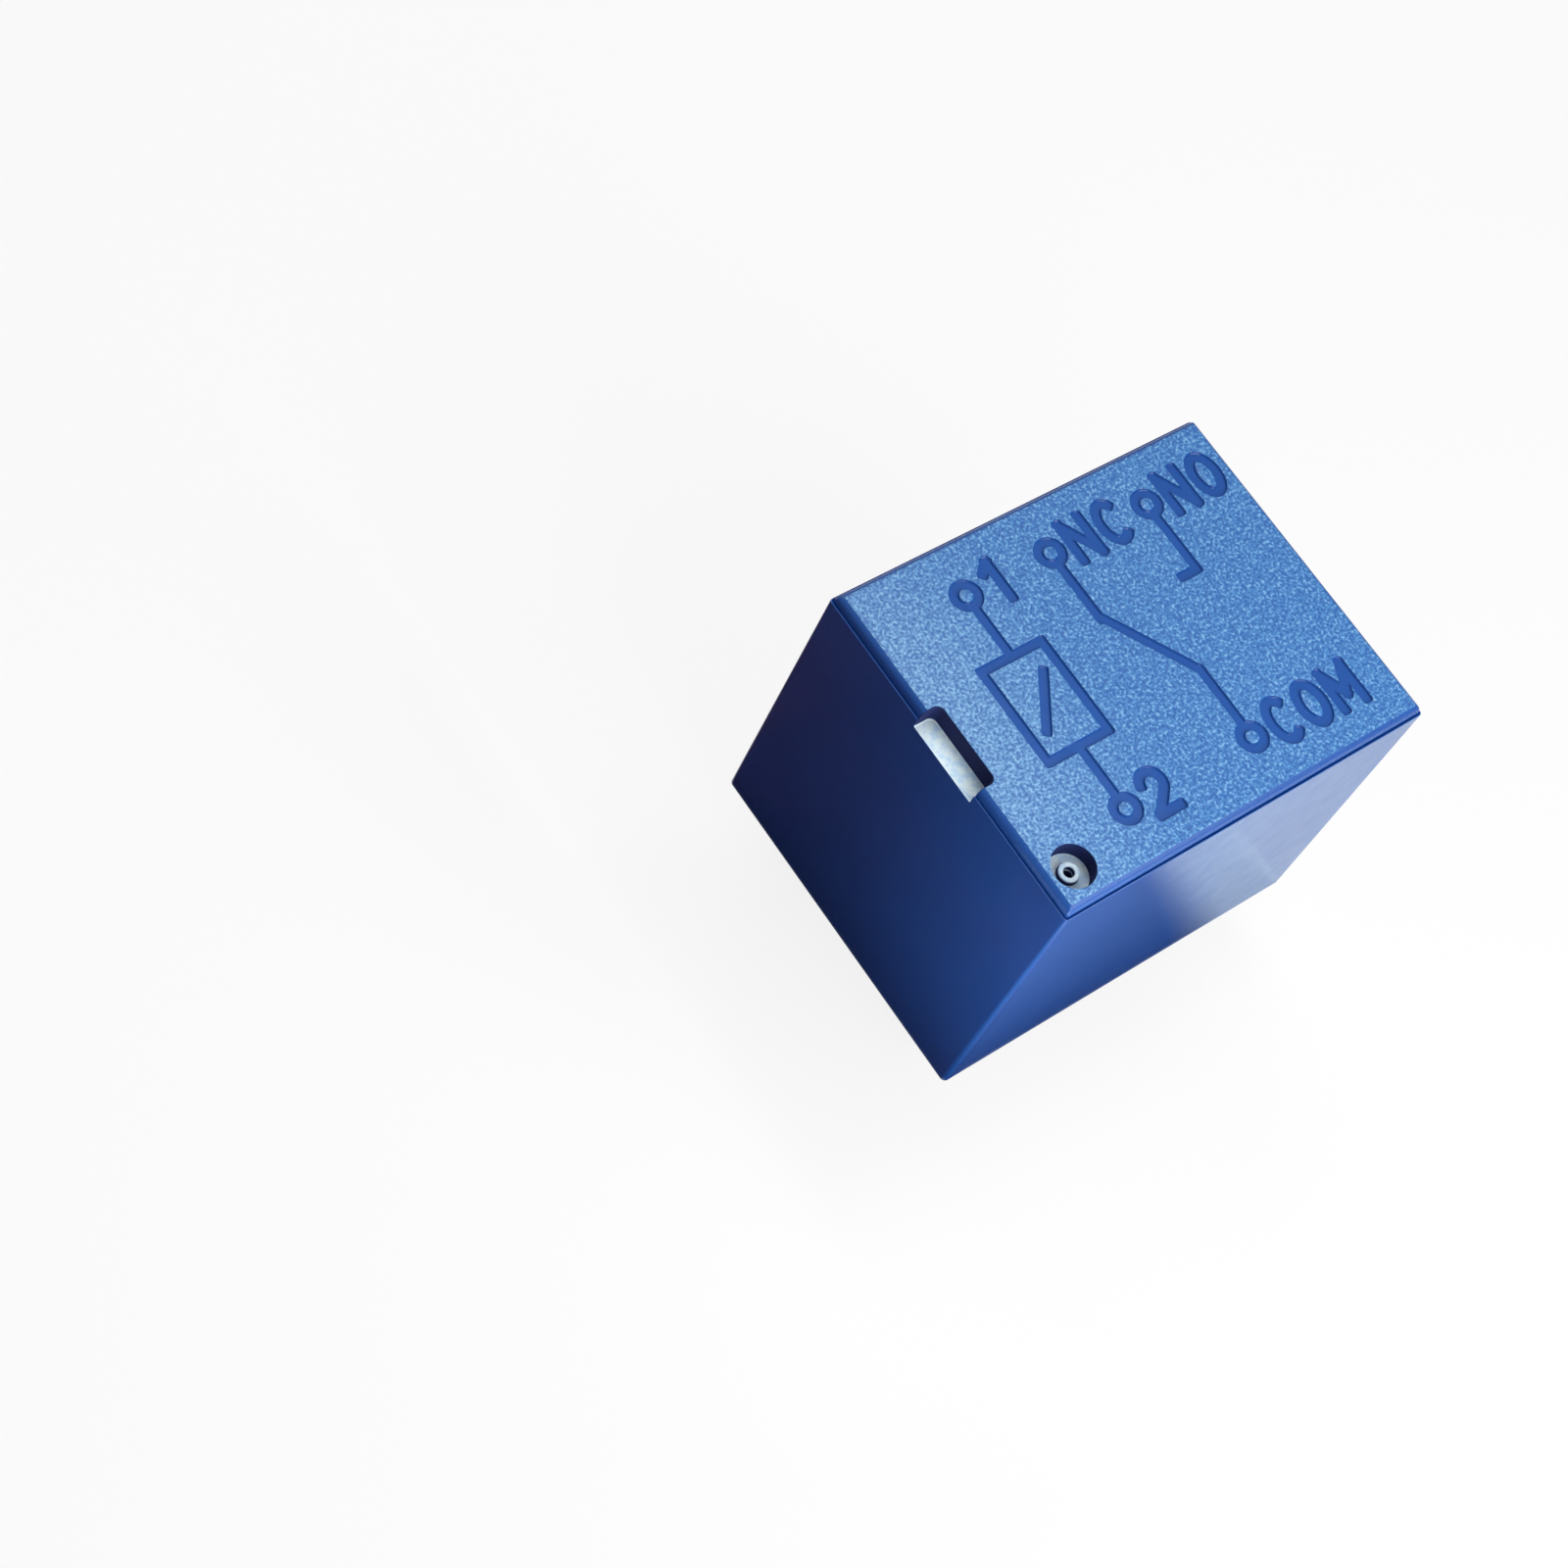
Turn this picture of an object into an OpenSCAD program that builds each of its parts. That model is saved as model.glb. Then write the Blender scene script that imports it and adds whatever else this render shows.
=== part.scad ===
// Sealed printed circuit board power relay with one changeover contact.
// Millimetres. X runs along the case, Y across it and Z up from the case rim, with the
// origin in the middle of the rim plane. The pins point down, below the rim.

/* [Case] */
// Length of the case at its rim
case_l = 19; // [18:0.1:21]
// Width of the case at its rim
case_w = 15.5; // [14.6:0.1:17]
// Height of the top panel above the rim
case_h = 15.4; // [14.6:0.1:18]
// Thickness of the side walls
wall = 0.65; // [0.5:0.05:0.8]
// Thickness of the top
top_t = 1; // [0.9:0.05:1.3]
// Lean of each wall over the full height, for the mould
draft = 0.2; // [0.05:0.05:0.3]
// Bevel of the upright edges
edge_bevel = 0.25; // [0.1:0.05:0.4]
// Height of the raised top panel
panel_h = 0.45; // [0.2:0.05:0.6]
// Step from the wall in to the panel
panel_step = 0.2; // [0.1:0.05:0.4]
// Bevel round the upper edge of the panel
panel_bevel = 0.1; // [0.05:0.01:0.15]
// Width of the crush ribs inside the rim
rib_w = 0.5; // [0.3:0.1:0.8]
// Reach of the crush ribs from the wall
rib_reach = 0.25; // [0.15:0.05:0.3]
// Distance of the crush ribs from the ends of the case
rib_edge = 3; // [2.8:0.1:3.4]

/* [Notch and vent] */
// Width of the notch in the end of the top
notch_w = 3.6; // [3:0.1:4.2]
// Reach of the notch in from the end
notch_l = 1.1; // [0.8:0.05:1.2]
// Depth of the notch below the top panel
notch_h = 0.95; // [0.6:0.05:1]
// Corner radius at the back of the notch
notch_r = 0.3; // [0.1:0.05:0.5]
// Thickness of plastic kept round and under the notch
notch_skin = 0.55; // [0.4:0.05:0.6]
// Distance of the vent from the notched end
vent_edge_x = 1.6; // [1.4:0.1:2.2]
// Distance of the vent from the side
vent_edge_y = 1.75; // [1.6:0.05:2.2]
// Diameter of the vent recess
vent_d = 1.8; // [1.4:0.1:2]
// Depth of the vent recess
vent_h = 0.8; // [0.5:0.05:0.9]
// Thickness of plastic kept round and under the vent
vent_skin = 0.4; // [0.3:0.05:0.5]
// Diameter of the nib in the vent recess
nib_d = 0.85; // [0.7:0.05:1]
// Height of the nib above the floor of the recess
nib_h = 0.3; // [0.2:0.05:0.5]
// Diameter of the blind hole in the nib
nib_hole_d = 0.45; // [0.3:0.05:0.5]

/* [Pins] */
// Reach of the pins below the rim
pin_l = 3.5; // [3:0.1:4.5]
// Distance of the common pin from its end of the case
com_edge = 2.2; // [2.1:0.05:2.4]
// Distance from the common pin back to the coil pins
coil_pin_pitch = 2; // [1.9:0.05:2.2]
// Distance of the contact pins from the notched end
contact_edge = 2.6; // [2.4:0.05:2.8]
// Distance of the outer pins from the sides
side_edge = 1.75; // [1.6:0.05:1.9]
// Diameter of the round coil pins
coil_pin_d = 0.7; // [0.6:0.05:0.8]
// Height of the tapered neck of each coil pin below the epoxy
pin_neck = 0.3; // [0.25:0.05:0.4]
// Width of the square post above each coil pin
post_w = 0.5; // [0.4:0.02:0.52]
// Height of the post above the bobbin ear
post_l = 1.6; // [1.4:0.1:2]
// Width of the common blade
com_w = 1.2; // [1:0.1:1.4]
// Width of the contact blades
blade_w = 1; // [0.8:0.05:1.2]
// Thickness of the blades
blade_t = 0.5; // [0.4:0.02:0.56]
// Length of the tapered pin tips
tip_l = 0.6; // [0.3:0.1:0.9]
// Width left at the end of a blade
tip_w = 0.4; // [0.2:0.05:0.6]
// Share of a blade's taper on its raked edge
tip_rake = 0.75; // [0.5:0.05:0.9]

/* [Base and seal] */
// Depth of the epoxy surface inside the rim
seal_recess = 0.4; // [0.2:0.05:0.6]
// Thickness of the epoxy
seal_t = 0.6; // [0.4:0.05:0.8]
// Thickness of the base plate
base_t = 1.6; // [1.3:0.1:2]
// Thickness of the insulating wall
barrier_t = 0.5; // [0.4:0.05:0.6]
// Distance from the insulating wall up to the lower contact arm
barrier_room = 0.5; // [0.3:0.1:1]
// Height of the terminal guides on the base
guide_h = 1.4; // [1:0.1:2]
// Thickness of the terminal guides
guide_t = 0.5; // [0.4:0.05:0.6]

/* [Coil and yoke] */
// Thickness of the yoke
yoke_t = 1.2; // [1:0.05:1.3]
// Gap between the yoke and the coil posts
yoke_side_gap = 0.95; // [0.7:0.05:1.2]
// Outer radius of the yoke bend
yoke_bend_r = 0.4; // [0.2:0.05:0.5]
// Reach of the yoke past the core
yoke_reach = 3; // [2.6:0.1:3.4]
// Diameter of the core
core_d = 4.2; // [3.6:0.1:4.6]
// Diameter of the staked end of the core
spigot_d = 3; // [2.5:0.1:3.4]
// Diameter of the pole head
pole_d = 6.4; // [5.6:0.1:7]
// Thickness of the pole head
pole_t = 0.7; // [0.5:0.05:0.9]
// Thickness of the bobbin tube
tube_t = 0.5; // [0.4:0.05:0.6]
// Diameter of the bobbin flanges
flange_d = 9.5; // [9:0.1:9.8]
// Thickness of the bobbin flanges
flange_t = 0.65; // [0.5:0.05:0.8]
// Width of the bobbin ear round each coil post
ear_margin = 0.6; // [0.5:0.05:0.65]
// Diameter of the winding
winding_d = 9; // [8.4:0.1:9.2]
// Diameter of the winding wire at its ends
lead_d = 0.16; // [0.12:0.02:0.2]
// Number of turns wrapped on each post
lead_turns = 4; // [2:1:6]

/* [Armature and contacts] */
// Room from the pole face up to the inside of the top
top_room = 2.6; // [2.5:0.05:2.9]
// Radius of the hinge edge on the yoke
hinge_r = 0.35; // [0.25:0.05:0.45]
// Opening angle of the armature at rest
open_deg = 2.2; // [1.6:0.1:2.3]
// Thickness of the armature
armature_t = 1; // [0.9:0.05:1.1]
// Width of the armature
armature_w = 8.8; // [8:0.1:9.4]
// Reach of the armature past the pole head
armature_reach = 1; // [0.6:0.1:1.2]
// Reach of the armature behind the hinge
armature_tail = 0.27; // [0.15:0.02:0.29]
// Height of the flat at the back of the armature, below its rounding
armature_land = 0.28; // [0.22:0.02:0.34]
// Thickness of the leaf spring
spring_t = 0.15; // [0.1:0.01:0.2]
// Width of the leaf spring on the armature
spring_w = 6; // [5:0.1:7]
// Width of the leaf spring at the moving contact
spring_tip_w = 3; // [2.6:0.1:3.4]
// Downward step of the leaf in front of the armature
spring_step = 1.1; // [1:0.05:1.2]
// Inside radius of the bend over the hinge
spring_bend_r = 0.8; // [0.75:0.01:0.9]
// Height of the stakes above the base plate
stake_h = 4.4; // [4:0.1:5]
// Distance between the stakes of a pair
stake_pitch = 3; // [2.6:0.1:3.4]
// Diameter of the stakes
stake_d = 1.1; // [0.9:0.05:1.3]
// Diameter of the stake heads
stake_head_d = 1.85; // [1.6:0.05:2]
// Diameter of the contact heads
contact_d = 2.4; // [2:0.1:2.6]
// Height of the contact heads
contact_h = 0.4; // [0.3:0.05:0.45]
// Drop of the contact face from its middle to its edge
contact_crown = 0.12; // [0.08:0.02:0.2]
// Diameter of the contact rivet shanks
shank_d = 1.2; // [1:0.05:1.4]
// Diameter of the closed ends of the fixed contact rivets
tail_d = 1.65; // [1.45:0.05:1.9]
// Thickness of the closed ends of the fixed contact rivets
tail_h = 0.12; // [0.1:0.02:0.16]
// Width of the fixed contact arms
arm_w = 1.8; // [1.5:0.1:2]

/* [Clearances] */
// Gap between faces that seat on each other
seat_gap = 0.03; // [0.02:0.01:0.06]
// Gap round a terminal in its slot and in the epoxy
slot_gap = 0.04; // [0.02:0.01:0.05]
// Gap between the base plate and the case
base_gap = 0.1; // [0.06:0.01:0.15]
// Gap round rivets, and on both sides of the leaf spring
rivet_gap = 0.02; // [0.02:0.01:0.03]
// Gap that stays where contacts or the pole meet
touch_gap = 0.03; // [0.02:0.01:0.05]
// Gap between the coil and what stands beside it
coil_gap = 0.1; // [0.05:0.05:0.2]

/* [Hidden] */
$fn = 64;

// Overshoot of a cut past the face that it opens
cut = 1;
// Steps of the wide circles that crown the contacts and stakes
crown_steps = 256;
// Slope of the step in the leaf spring
step_deg = 45;

// Heights, from the rim up
shoulder_z = case_h - panel_h;
inner_top = case_h - top_t;
base_z = seal_recess + seal_t;
base_top = base_z + base_t;
yoke_z = base_top + seat_gap;
yoke_top = yoke_z + yoke_t;
pole_z = inner_top - top_room;
pole_under = pole_z - pole_t;
low_flange_z = yoke_top + seat_gap;
low_flange_top = low_flange_z + flange_t;
high_flange_top = pole_under - seat_gap;
high_flange_z = high_flange_top - flange_t;
post_top = low_flange_top + post_l;
stake_z = base_top + stake_h;

// Pin places
com_x = case_l / 2 - com_edge;
coil_pin_x = com_x - coil_pin_pitch;
contact_x = contact_edge - case_l / 2;
pin_y = case_w / 2 - side_edge;

// Magnet, from the common blade inwards
spring_leg_x = com_x - blade_t / 2 - rivet_gap - spring_t;
yoke_out_x = spring_leg_x - rivet_gap;
yoke_in_x = yoke_out_x - yoke_t;
coil_x = yoke_in_x - coil_gap - flange_d / 2;
yoke_w = 2 * (pin_y - coil_pin_d / 2 - yoke_side_gap);
flange_left = coil_x - flange_d / 2;
barrier_x = flange_left - coil_gap - barrier_t;
ear_y = pin_y + ear_margin;
bore_d = core_d + 2 * slot_gap;
tube_d = bore_d + 2 * tube_t;

// Hinge, and the armature as it lies when closed
hinge_x = yoke_out_x - hinge_r;
hinge_z = pole_z - hinge_r;
armature_z = pole_z + touch_gap;
armature_top = armature_z + armature_t;
armature_front = coil_x - pole_d / 2 - armature_reach;
armature_back = hinge_x + armature_tail;
armature_round = armature_t - armature_land;
leaf_z = armature_top + rivet_gap;
stake_x = armature_front + stake_d + rivet_gap;

// Leaf spring bend: its middle at rest, and where the flat part then ends when closed
bend_mid_z = leaf_z - spring_bend_r;
bend_reach = spring_leg_x - spring_bend_r - hinge_x;
bend_x = hinge_x + (bend_reach - (bend_mid_z - hinge_z) * sin(open_deg)) / cos(open_deg);
step_x = armature_front - 2 * spring_t;
step_foot_x = step_x - spring_step / tan(step_deg);
tip_z = leaf_z - spring_step;
leaf_tip_x = contact_x - contact_d / 2 - spring_t;
leg_z = stake_z - stake_pitch / 2;

// Contacts: apex heights of the fixed ones, from the moving one closed and open
no_face_z = tip_z - rivet_gap - contact_h - touch_gap;
moving_top = tip_z + spring_t + rivet_gap + contact_h;
nc_face_z = hinge_z + (hinge_x - contact_x) * sin(open_deg) + moving_top - hinge_z + touch_gap;
no_arm_top = no_face_z - contact_h - rivet_gap;
nc_arm_z = nc_face_z + contact_h + rivet_gap;
arm_end = contact_d / 2 + spring_t;
strip_bend_r = blade_t / 2;

function lean(z) = draft * z / case_h;

// Points on an arc in a plane, from one angle to another
function arc(mid, r, from, to, steps = 12) =
    [for (i = [0:steps], a = from + i * (to - from) / steps) mid + r * [cos(a), sin(a)]];

// A point [x, z] of the closed armature, turned about the hinge edge to its open place
function opened(p) = [
    hinge_x + (p[0] - hinge_x) * cos(open_deg) + (p[1] - hinge_z) * sin(open_deg),
    hinge_z - (p[0] - hinge_x) * sin(open_deg) + (p[1] - hinge_z) * cos(open_deg)
];

// A long slab between two leaning faces, "low" from the middle at z0 and "high" at z1
module leaning_slab(low, high, z0, z1, turn) {
    rotate([0, 0, turn])
        rotate([90, 0, 0])
            linear_extrude(2 * (case_l + case_w), center = true)
                polygon([[-low, z0], [low, z0], [high, z1], [-high, z1]]);
}

// A block l by w at z0 with bevelled upright edges, each wall leaning in by "inset" up to z1
module frustum_block(l, w, bevel, inset, z0, z1) {
    corner = (l / 2 + w / 2 - bevel) / sqrt(2);
    intersection() {
        leaning_slab(l / 2, l / 2 - inset, z0, z1, 0);
        leaning_slab(w / 2, w / 2 - inset, z0, z1, 90);
        leaning_slab(corner, corner - inset * sqrt(2), z0, z1, 45);
        leaning_slab(corner, corner - inset * sqrt(2), z0, z1, -45);
    }
}

// The same with the draft of the mould, l by w where its walls would reach the rim
module drafted_block(l, w, bevel, z0, z1) {
    frustum_block(l - 2 * lean(z0), w - 2 * lean(z0), bevel, lean(z1) - lean(z0), z0, z1);
}

// The space inside the case walls, drawn in by "gap", between two heights
module inside_walls(gap, z0, z1) {
    drafted_block(case_l - 2 * (wall + gap), case_w - 2 * (wall + gap), edge_bevel, z0, z1);
}

// A block from one corner to the opposite one
module span_block(low, high) {
    translate(low) cube(high - low);
}

// A flat outline in the XZ plane, drawn out along Y and centred on y = 0
module along_y(width) {
    rotate([90, 0, 0]) linear_extrude(width, center = true) children();
}

// Copies on both sides of the XZ plane
module both_sides() {
    children();
    mirror([0, 1, 0]) children();
}

// Turns what is drawn closed about the hinge edge, to its open place at rest
module at_rest() {
    translate([hinge_x, 0, hinge_z])
        rotate([0, open_deg, 0])
            translate([-hinge_x, 0, -hinge_z]) children();
}

// A blade outline with one raked and one short bevel at its tip, from the tip up to z1
module blade_outline(width, z1) {
    rake = (width - tip_w) * tip_rake;
    nick = width - tip_w - rake;
    polygon([[rake - width / 2, -pin_l], [width / 2 - nick, -pin_l], [width / 2, nick - pin_l],
             [width / 2, z1], [-width / 2, z1], [-width / 2, tip_l - pin_l]]);
}

// Case: cup with a raised top panel, an end notch and a vent nib
module top_panel() {
    panel_l = case_l - 2 * (panel_step + lean(case_h));
    panel_w = case_w - 2 * (panel_step + lean(case_h));
    reach = 2 * (top_t - panel_bevel);
    intersection() {
        drafted_block(case_l - 2 * panel_step, case_w - 2 * panel_step, edge_bevel, inner_top, case_h);
        frustum_block(panel_l + reach, panel_w + reach, edge_bevel, top_t, inner_top, case_h);
    }
}

module vent_place() {
    translate([vent_edge_x - case_l / 2, vent_edge_y - case_w / 2, 0]) children();
}

// The notch, open at the end and at the top, with two rounded corners at its back
module notch_cut() {
    back = notch_l - case_l / 2;
    translate([0, 0, case_h - notch_h]) linear_extrude(notch_h + cut) {
        translate([-case_l / 2 - cut, -notch_w / 2]) square([notch_l + cut - notch_r, notch_w]);
        translate([-case_l / 2 - cut, notch_r - notch_w / 2]) square([notch_l + cut, notch_w - 2 * notch_r]);
        for (side = [-1, 1])
            translate([back - notch_r, side * (notch_w / 2 - notch_r)]) circle(notch_r);
    }
}

module notch_pad() {
    half = notch_w / 2 + notch_skin;
    span_block([wall / 2 + draft - case_l / 2, -half, case_h - notch_h - notch_skin],
               [notch_l + notch_skin - case_l / 2, half, case_h - top_t / 2]);
}

module vent_boss() {
    floor_z = case_h - vent_h;
    intersection() {
        vent_place() translate([0, 0, floor_z - 2 * vent_skin])
            cylinder(d = vent_d + 2 * vent_skin, h = 2 * vent_skin);
        drafted_block(case_l - wall, case_w - wall, edge_bevel, 0, shoulder_z);
    }
}

module crush_ribs(gap) {
    for (end = [-1, 1])
        both_sides()
            translate([end * (case_l / 2 - rib_edge), case_w / 2 - wall, (base_z - seat_gap) / 2])
                cube([rib_w + 2 * gap, 2 * (rib_reach + gap), base_z - seat_gap + 2 * gap], center = true);
}

module case() {
    floor_z = case_h - vent_h;
    color("royalblue") {
        difference() {
            union() {
                difference() {
                    union() {
                        drafted_block(case_l, case_w, edge_bevel, 0, shoulder_z);
                        top_panel();
                    }
                    inside_walls(0, -cut, inner_top);
                }
                notch_pad();
                vent_boss();
                intersection() {
                    crush_ribs(0);
                    drafted_block(case_l - wall, case_w - wall, edge_bevel, 0, inner_top);
                }
            }
            notch_cut();
            vent_place() translate([0, 0, floor_z]) difference() {
                cylinder(d = vent_d, h = vent_h + cut);
                cylinder(d = nib_d, h = nib_h);
            }
            vent_place() translate([0, 0, floor_z - vent_skin]) cylinder(d = nib_hole_d, h = vent_h);
        }
    }
}

// Epoxy that closes the underside, round the pins and the crush ribs
module potting_seal() {
    color("dimgray") difference() {
        inside_walls(slot_gap, seal_recess, base_z);
        terminal_slots(seal_recess - cut, base_z + cut);
        for (side = [-1, 1])
            translate([coil_pin_x, side * pin_y, 0]) cylinder(d = coil_pin_d + 2 * slot_gap, h = 2 * base_z);
        crush_ribs(slot_gap);
    }
}

// Slots for the blades and the square posts, between two heights
module terminal_slots(z0, z1) {
    both_sides() {
        slot(contact_x, pin_y, blade_w, blade_t, z0, z1);
        slot(coil_pin_x, pin_y, post_w, post_w, z0, z1);
    }
    slot(com_x, 0, blade_t, com_w, z0, z1);
}

module slot(x, y, size_x, size_y, z0, z1) {
    half = [size_x / 2 + slot_gap, size_y / 2 + slot_gap];
    span_block([x - half[0], y - half[1], z0], [x + half[0], y + half[1], z1]);
}

// Base plate with terminal slots, guides for the contact strips and the insulating wall
module base_plate() {
    half_l = case_l / 2 - wall - lean(base_top) - base_gap;
    half_w = case_w / 2 - wall - lean(base_top) - base_gap;
    barrier_w = pin_y - blade_t / 2 - seat_gap;
    guide_l = arm_w / 2 + slot_gap + guide_t;
    guide_in = pin_y - blade_t / 2 - slot_gap - guide_t;
    color("darkslategray") difference() {
        union() {
            span_block([-half_l, -half_w, base_z], [half_l, half_w, base_top]);
            span_block([barrier_x, -barrier_w, base_z + base_t / 2],
                       [barrier_x + barrier_t, barrier_w, no_arm_top - blade_t - barrier_room]);
            both_sides()
                span_block([contact_x - guide_l, guide_in, base_z + base_t / 2],
                           [contact_x + guide_l, half_w, base_top + guide_h]);
        }
        terminal_slots(base_z - cut, base_top + cut);
        both_sides() slot(contact_x, pin_y, arm_w, blade_t, base_top, base_top + guide_h + cut);
    }
}

// Bobbin: tube, round upper flange, and a lower flange with an ear at each coil post
module bobbin() {
    color("ivory") difference() {
        union() {
            translate([coil_x, 0, low_flange_z]) cylinder(d = tube_d, h = high_flange_top - low_flange_z);
            translate([coil_x, 0, high_flange_z]) cylinder(d = flange_d, h = flange_t);
            span_block([flange_left, -ear_y, low_flange_z], [yoke_in_x - coil_gap, ear_y, low_flange_top]);
            both_sides()
                span_block([coil_x, yoke_w / 2 + coil_gap, low_flange_z],
                           [coil_pin_x + post_w / 2 + ear_margin, ear_y, low_flange_top]);
        }
        translate([coil_x, 0, low_flange_z - cut])
            cylinder(d = bore_d, h = high_flange_top - low_flange_z + 2 * cut);
        both_sides() slot(coil_pin_x, pin_y, post_w, post_w, low_flange_z - cut, low_flange_top + cut);
    }
}

// Enamelled copper winding between the flanges
module coil_winding() {
    low = low_flange_top + seat_gap;
    high = high_flange_z - seat_gap;
    color("peru") translate([coil_x, 0, 0]) rotate_extrude() {
        span = [tube_d / 2 + seat_gap, winding_d / 2];
        soft = 2 * lead_d;
        difference() {
            translate([span[0], low]) square([span[1] - span[0], high - low]);
            for (end = [[low, 1], [high, -1]])
                translate([span[1], end[0]]) rotate(45) square(soft, center = true);
        }
    }
}

// One end of the winding, wrapped round its post and led straight to the coil
module coil_lead(side) {
    hole_r = post_w / sqrt(2) + slot_gap;
    far = norm([coil_pin_x - coil_x, pin_y]) - winding_d / 2 - seat_gap;
    color("peru") translate([coil_pin_x, side * pin_y, low_flange_top + 2 * lead_d]) {
        rotate_extrude() {
            translate([hole_r, -lead_d / 2]) square([lead_d / 2, lead_turns * lead_d]);
            for (i = [0:lead_turns - 1])
                translate([hole_r + lead_d / 2, i * lead_d]) circle(d = lead_d);
        }
        rotate([0, 0, atan2(-side * pin_y, coil_x - coil_pin_x)])
            translate([hole_r + lead_d / 4, 0, 0])
                rotate([0, 90, 0]) cylinder(d = lead_d, h = far - hole_r - lead_d / 4);
    }
}

module coil_lead_a() { coil_lead(1); }

module coil_lead_b() { coil_lead(-1); }

// Core: staked spigot, shaft and pole head, turned in one
module core() {
    color("silver") translate([coil_x, 0, 0]) rotate_extrude()
        polygon([[0, yoke_z + seat_gap], [spigot_d / 2, yoke_z + seat_gap], [spigot_d / 2, low_flange_z],
                 [core_d / 2, low_flange_z], [core_d / 2, pole_under], [pole_d / 2, pole_under],
                 [pole_d / 2, pole_z], [0, pole_z]]);
}

// Yoke: bent iron strip with a rounded hinge edge at its top
module yoke() {
    left = coil_x - yoke_reach;
    color("lightsteelblue") difference() {
        along_y(yoke_w) {
            polygon(concat([[left, yoke_top], [left, yoke_z]],
                           arc([yoke_out_x - yoke_bend_r, yoke_z + yoke_bend_r], yoke_bend_r, -90, 0),
                           [[yoke_out_x, hinge_z], [hinge_x, hinge_z], [hinge_x, pole_z], [yoke_in_x, pole_z],
                            [yoke_in_x, yoke_top]]));
            translate([hinge_x, hinge_z]) circle(hinge_r);
        }
        translate([coil_x, 0, yoke_z - cut]) cylinder(d = spigot_d + 2 * rivet_gap, h = yoke_t + 2 * cut);
        for (side = [-1, 1])
            translate([yoke_in_x - cut, side * stake_pitch / 2, stake_z])
                rotate([0, 90, 0]) cylinder(d = stake_d + 2 * rivet_gap, h = yoke_t + 2 * cut);
    }
}

// Armature plate, rounded at its back under the spring bend
module armature() {
    r = armature_round;
    color("lightsteelblue") at_rest() difference() {
        along_y(armature_w)
            polygon(concat([[armature_front, armature_top], [armature_front, armature_z]],
                           [[armature_back, armature_z]],
                           arc([armature_back - r, armature_top - r], r, 0, 90)));
        stake_holes(armature_z - cut, armature_top + cut);
    }
}

module stake_holes(z0, z1) {
    for (side = [-1, 1])
        translate([stake_x, side * stake_pitch / 2, z0]) cylinder(d = stake_d + 2 * rivet_gap, h = z1 - z0);
}

// Leaf spring: flat on the armature, stepped down to the contact, bent over the hinge to the yoke
module leaf_outline() {
    mitre = spring_t * tan(step_deg / 2);
    mid = opened([bend_x, bend_mid_z]);
    under = [[leaf_tip_x, tip_z], [step_foot_x, tip_z], [step_x, leaf_z]];
    over = [[step_x - mitre, leaf_z + spring_t], [step_foot_x - mitre, tip_z + spring_t],
            [leaf_tip_x, tip_z + spring_t]];
    polygon(concat([for (p = under) opened(p)],
                   arc(mid, spring_bend_r, 90 - open_deg, 0),
                   [[spring_leg_x, leg_z], [spring_leg_x + spring_t, leg_z]],
                   arc(mid, spring_bend_r + spring_t, 0, 90 - open_deg),
                   [for (p = over) opened(p)]));
}

module contact_spring() {
    wide = spring_w / 2;
    narrow = spring_tip_w / 2;
    color("goldenrod") difference() {
        intersection() {
            along_y(spring_w) leaf_outline();
            linear_extrude(2 * case_h)
                polygon([[leaf_tip_x - cut, -narrow], [step_foot_x, -narrow], [armature_front, -wide],
                         [case_l / 2, -wide], [case_l / 2, wide], [armature_front, wide],
                         [step_foot_x, narrow], [leaf_tip_x - cut, narrow]]);
        }
        at_rest() stake_holes(leaf_z - cut, leaf_z + cut);
        at_rest() translate([contact_x, 0, tip_z - cut]) cylinder(d = shank_d + 2 * rivet_gap, h = 2 * cut);
        for (side = [-1, 1])
            translate([spring_leg_x - cut, side * stake_pitch / 2, stake_z])
                rotate([0, 90, 0]) cylinder(d = stake_d + 2 * rivet_gap, h = 2 * cut);
    }
}

// A stake with a low domed head, its shank "grip" long below z = 0
module stake(grip) {
    head_h = 2 * spring_t;
    translate([0, 0, -grip]) cylinder(d = stake_d, h = grip + rivet_gap);
    translate([0, 0, rivet_gap]) rotate_extrude() crowned_half(stake_head_d, head_h, spring_t);
}

// Half outline of a head with a round crown on its upper face
module crowned_half(d, h, crown) {
    r = (d * d / 4 + crown * crown) / (2 * crown);
    intersection() {
        square([d / 2, h]);
        translate([0, h - r]) circle(r, $fn = crown_steps);
    }
}

module armature_rivets() {
    color("lightsteelblue") at_rest()
        for (side = [-1, 1])
            translate([stake_x, side * stake_pitch / 2, leaf_z + spring_t])
                stake(spring_t + armature_t - 2 * rivet_gap);
}

module yoke_rivets() {
    outer = com_x + blade_t / 2;
    color("lightsteelblue")
        for (side = [-1, 1])
            translate([outer, side * stake_pitch / 2, stake_z])
                rotate([0, 90, 0]) stake(outer - yoke_in_x - 2 * rivet_gap);
}

// The crowned head of a contact, standing on z = 0
module contact_head() {
    rotate_extrude() crowned_half(contact_d, contact_h, contact_crown);
}

// A contact rivet on a sheet whose upper face is at z = 0, staked below it
module contact_rivet(sheet) {
    translate([0, 0, -sheet - rivet_gap]) cylinder(d = shank_d, h = sheet + 2 * rivet_gap);
    translate([0, 0, rivet_gap]) contact_head();
    translate([0, 0, -sheet - rivet_gap - tail_h]) cylinder(d = tail_d, h = tail_h);
}

module moving_contact() {
    color("gainsboro") at_rest() translate([contact_x, 0, tip_z]) {
        translate([0, 0, -rivet_gap]) cylinder(d = shank_d, h = spring_t + 2 * rivet_gap);
        translate([0, 0, spring_t + rivet_gap]) contact_head();
        mirror([0, 0, 1]) translate([0, 0, rivet_gap]) contact_head();
    }
}

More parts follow.
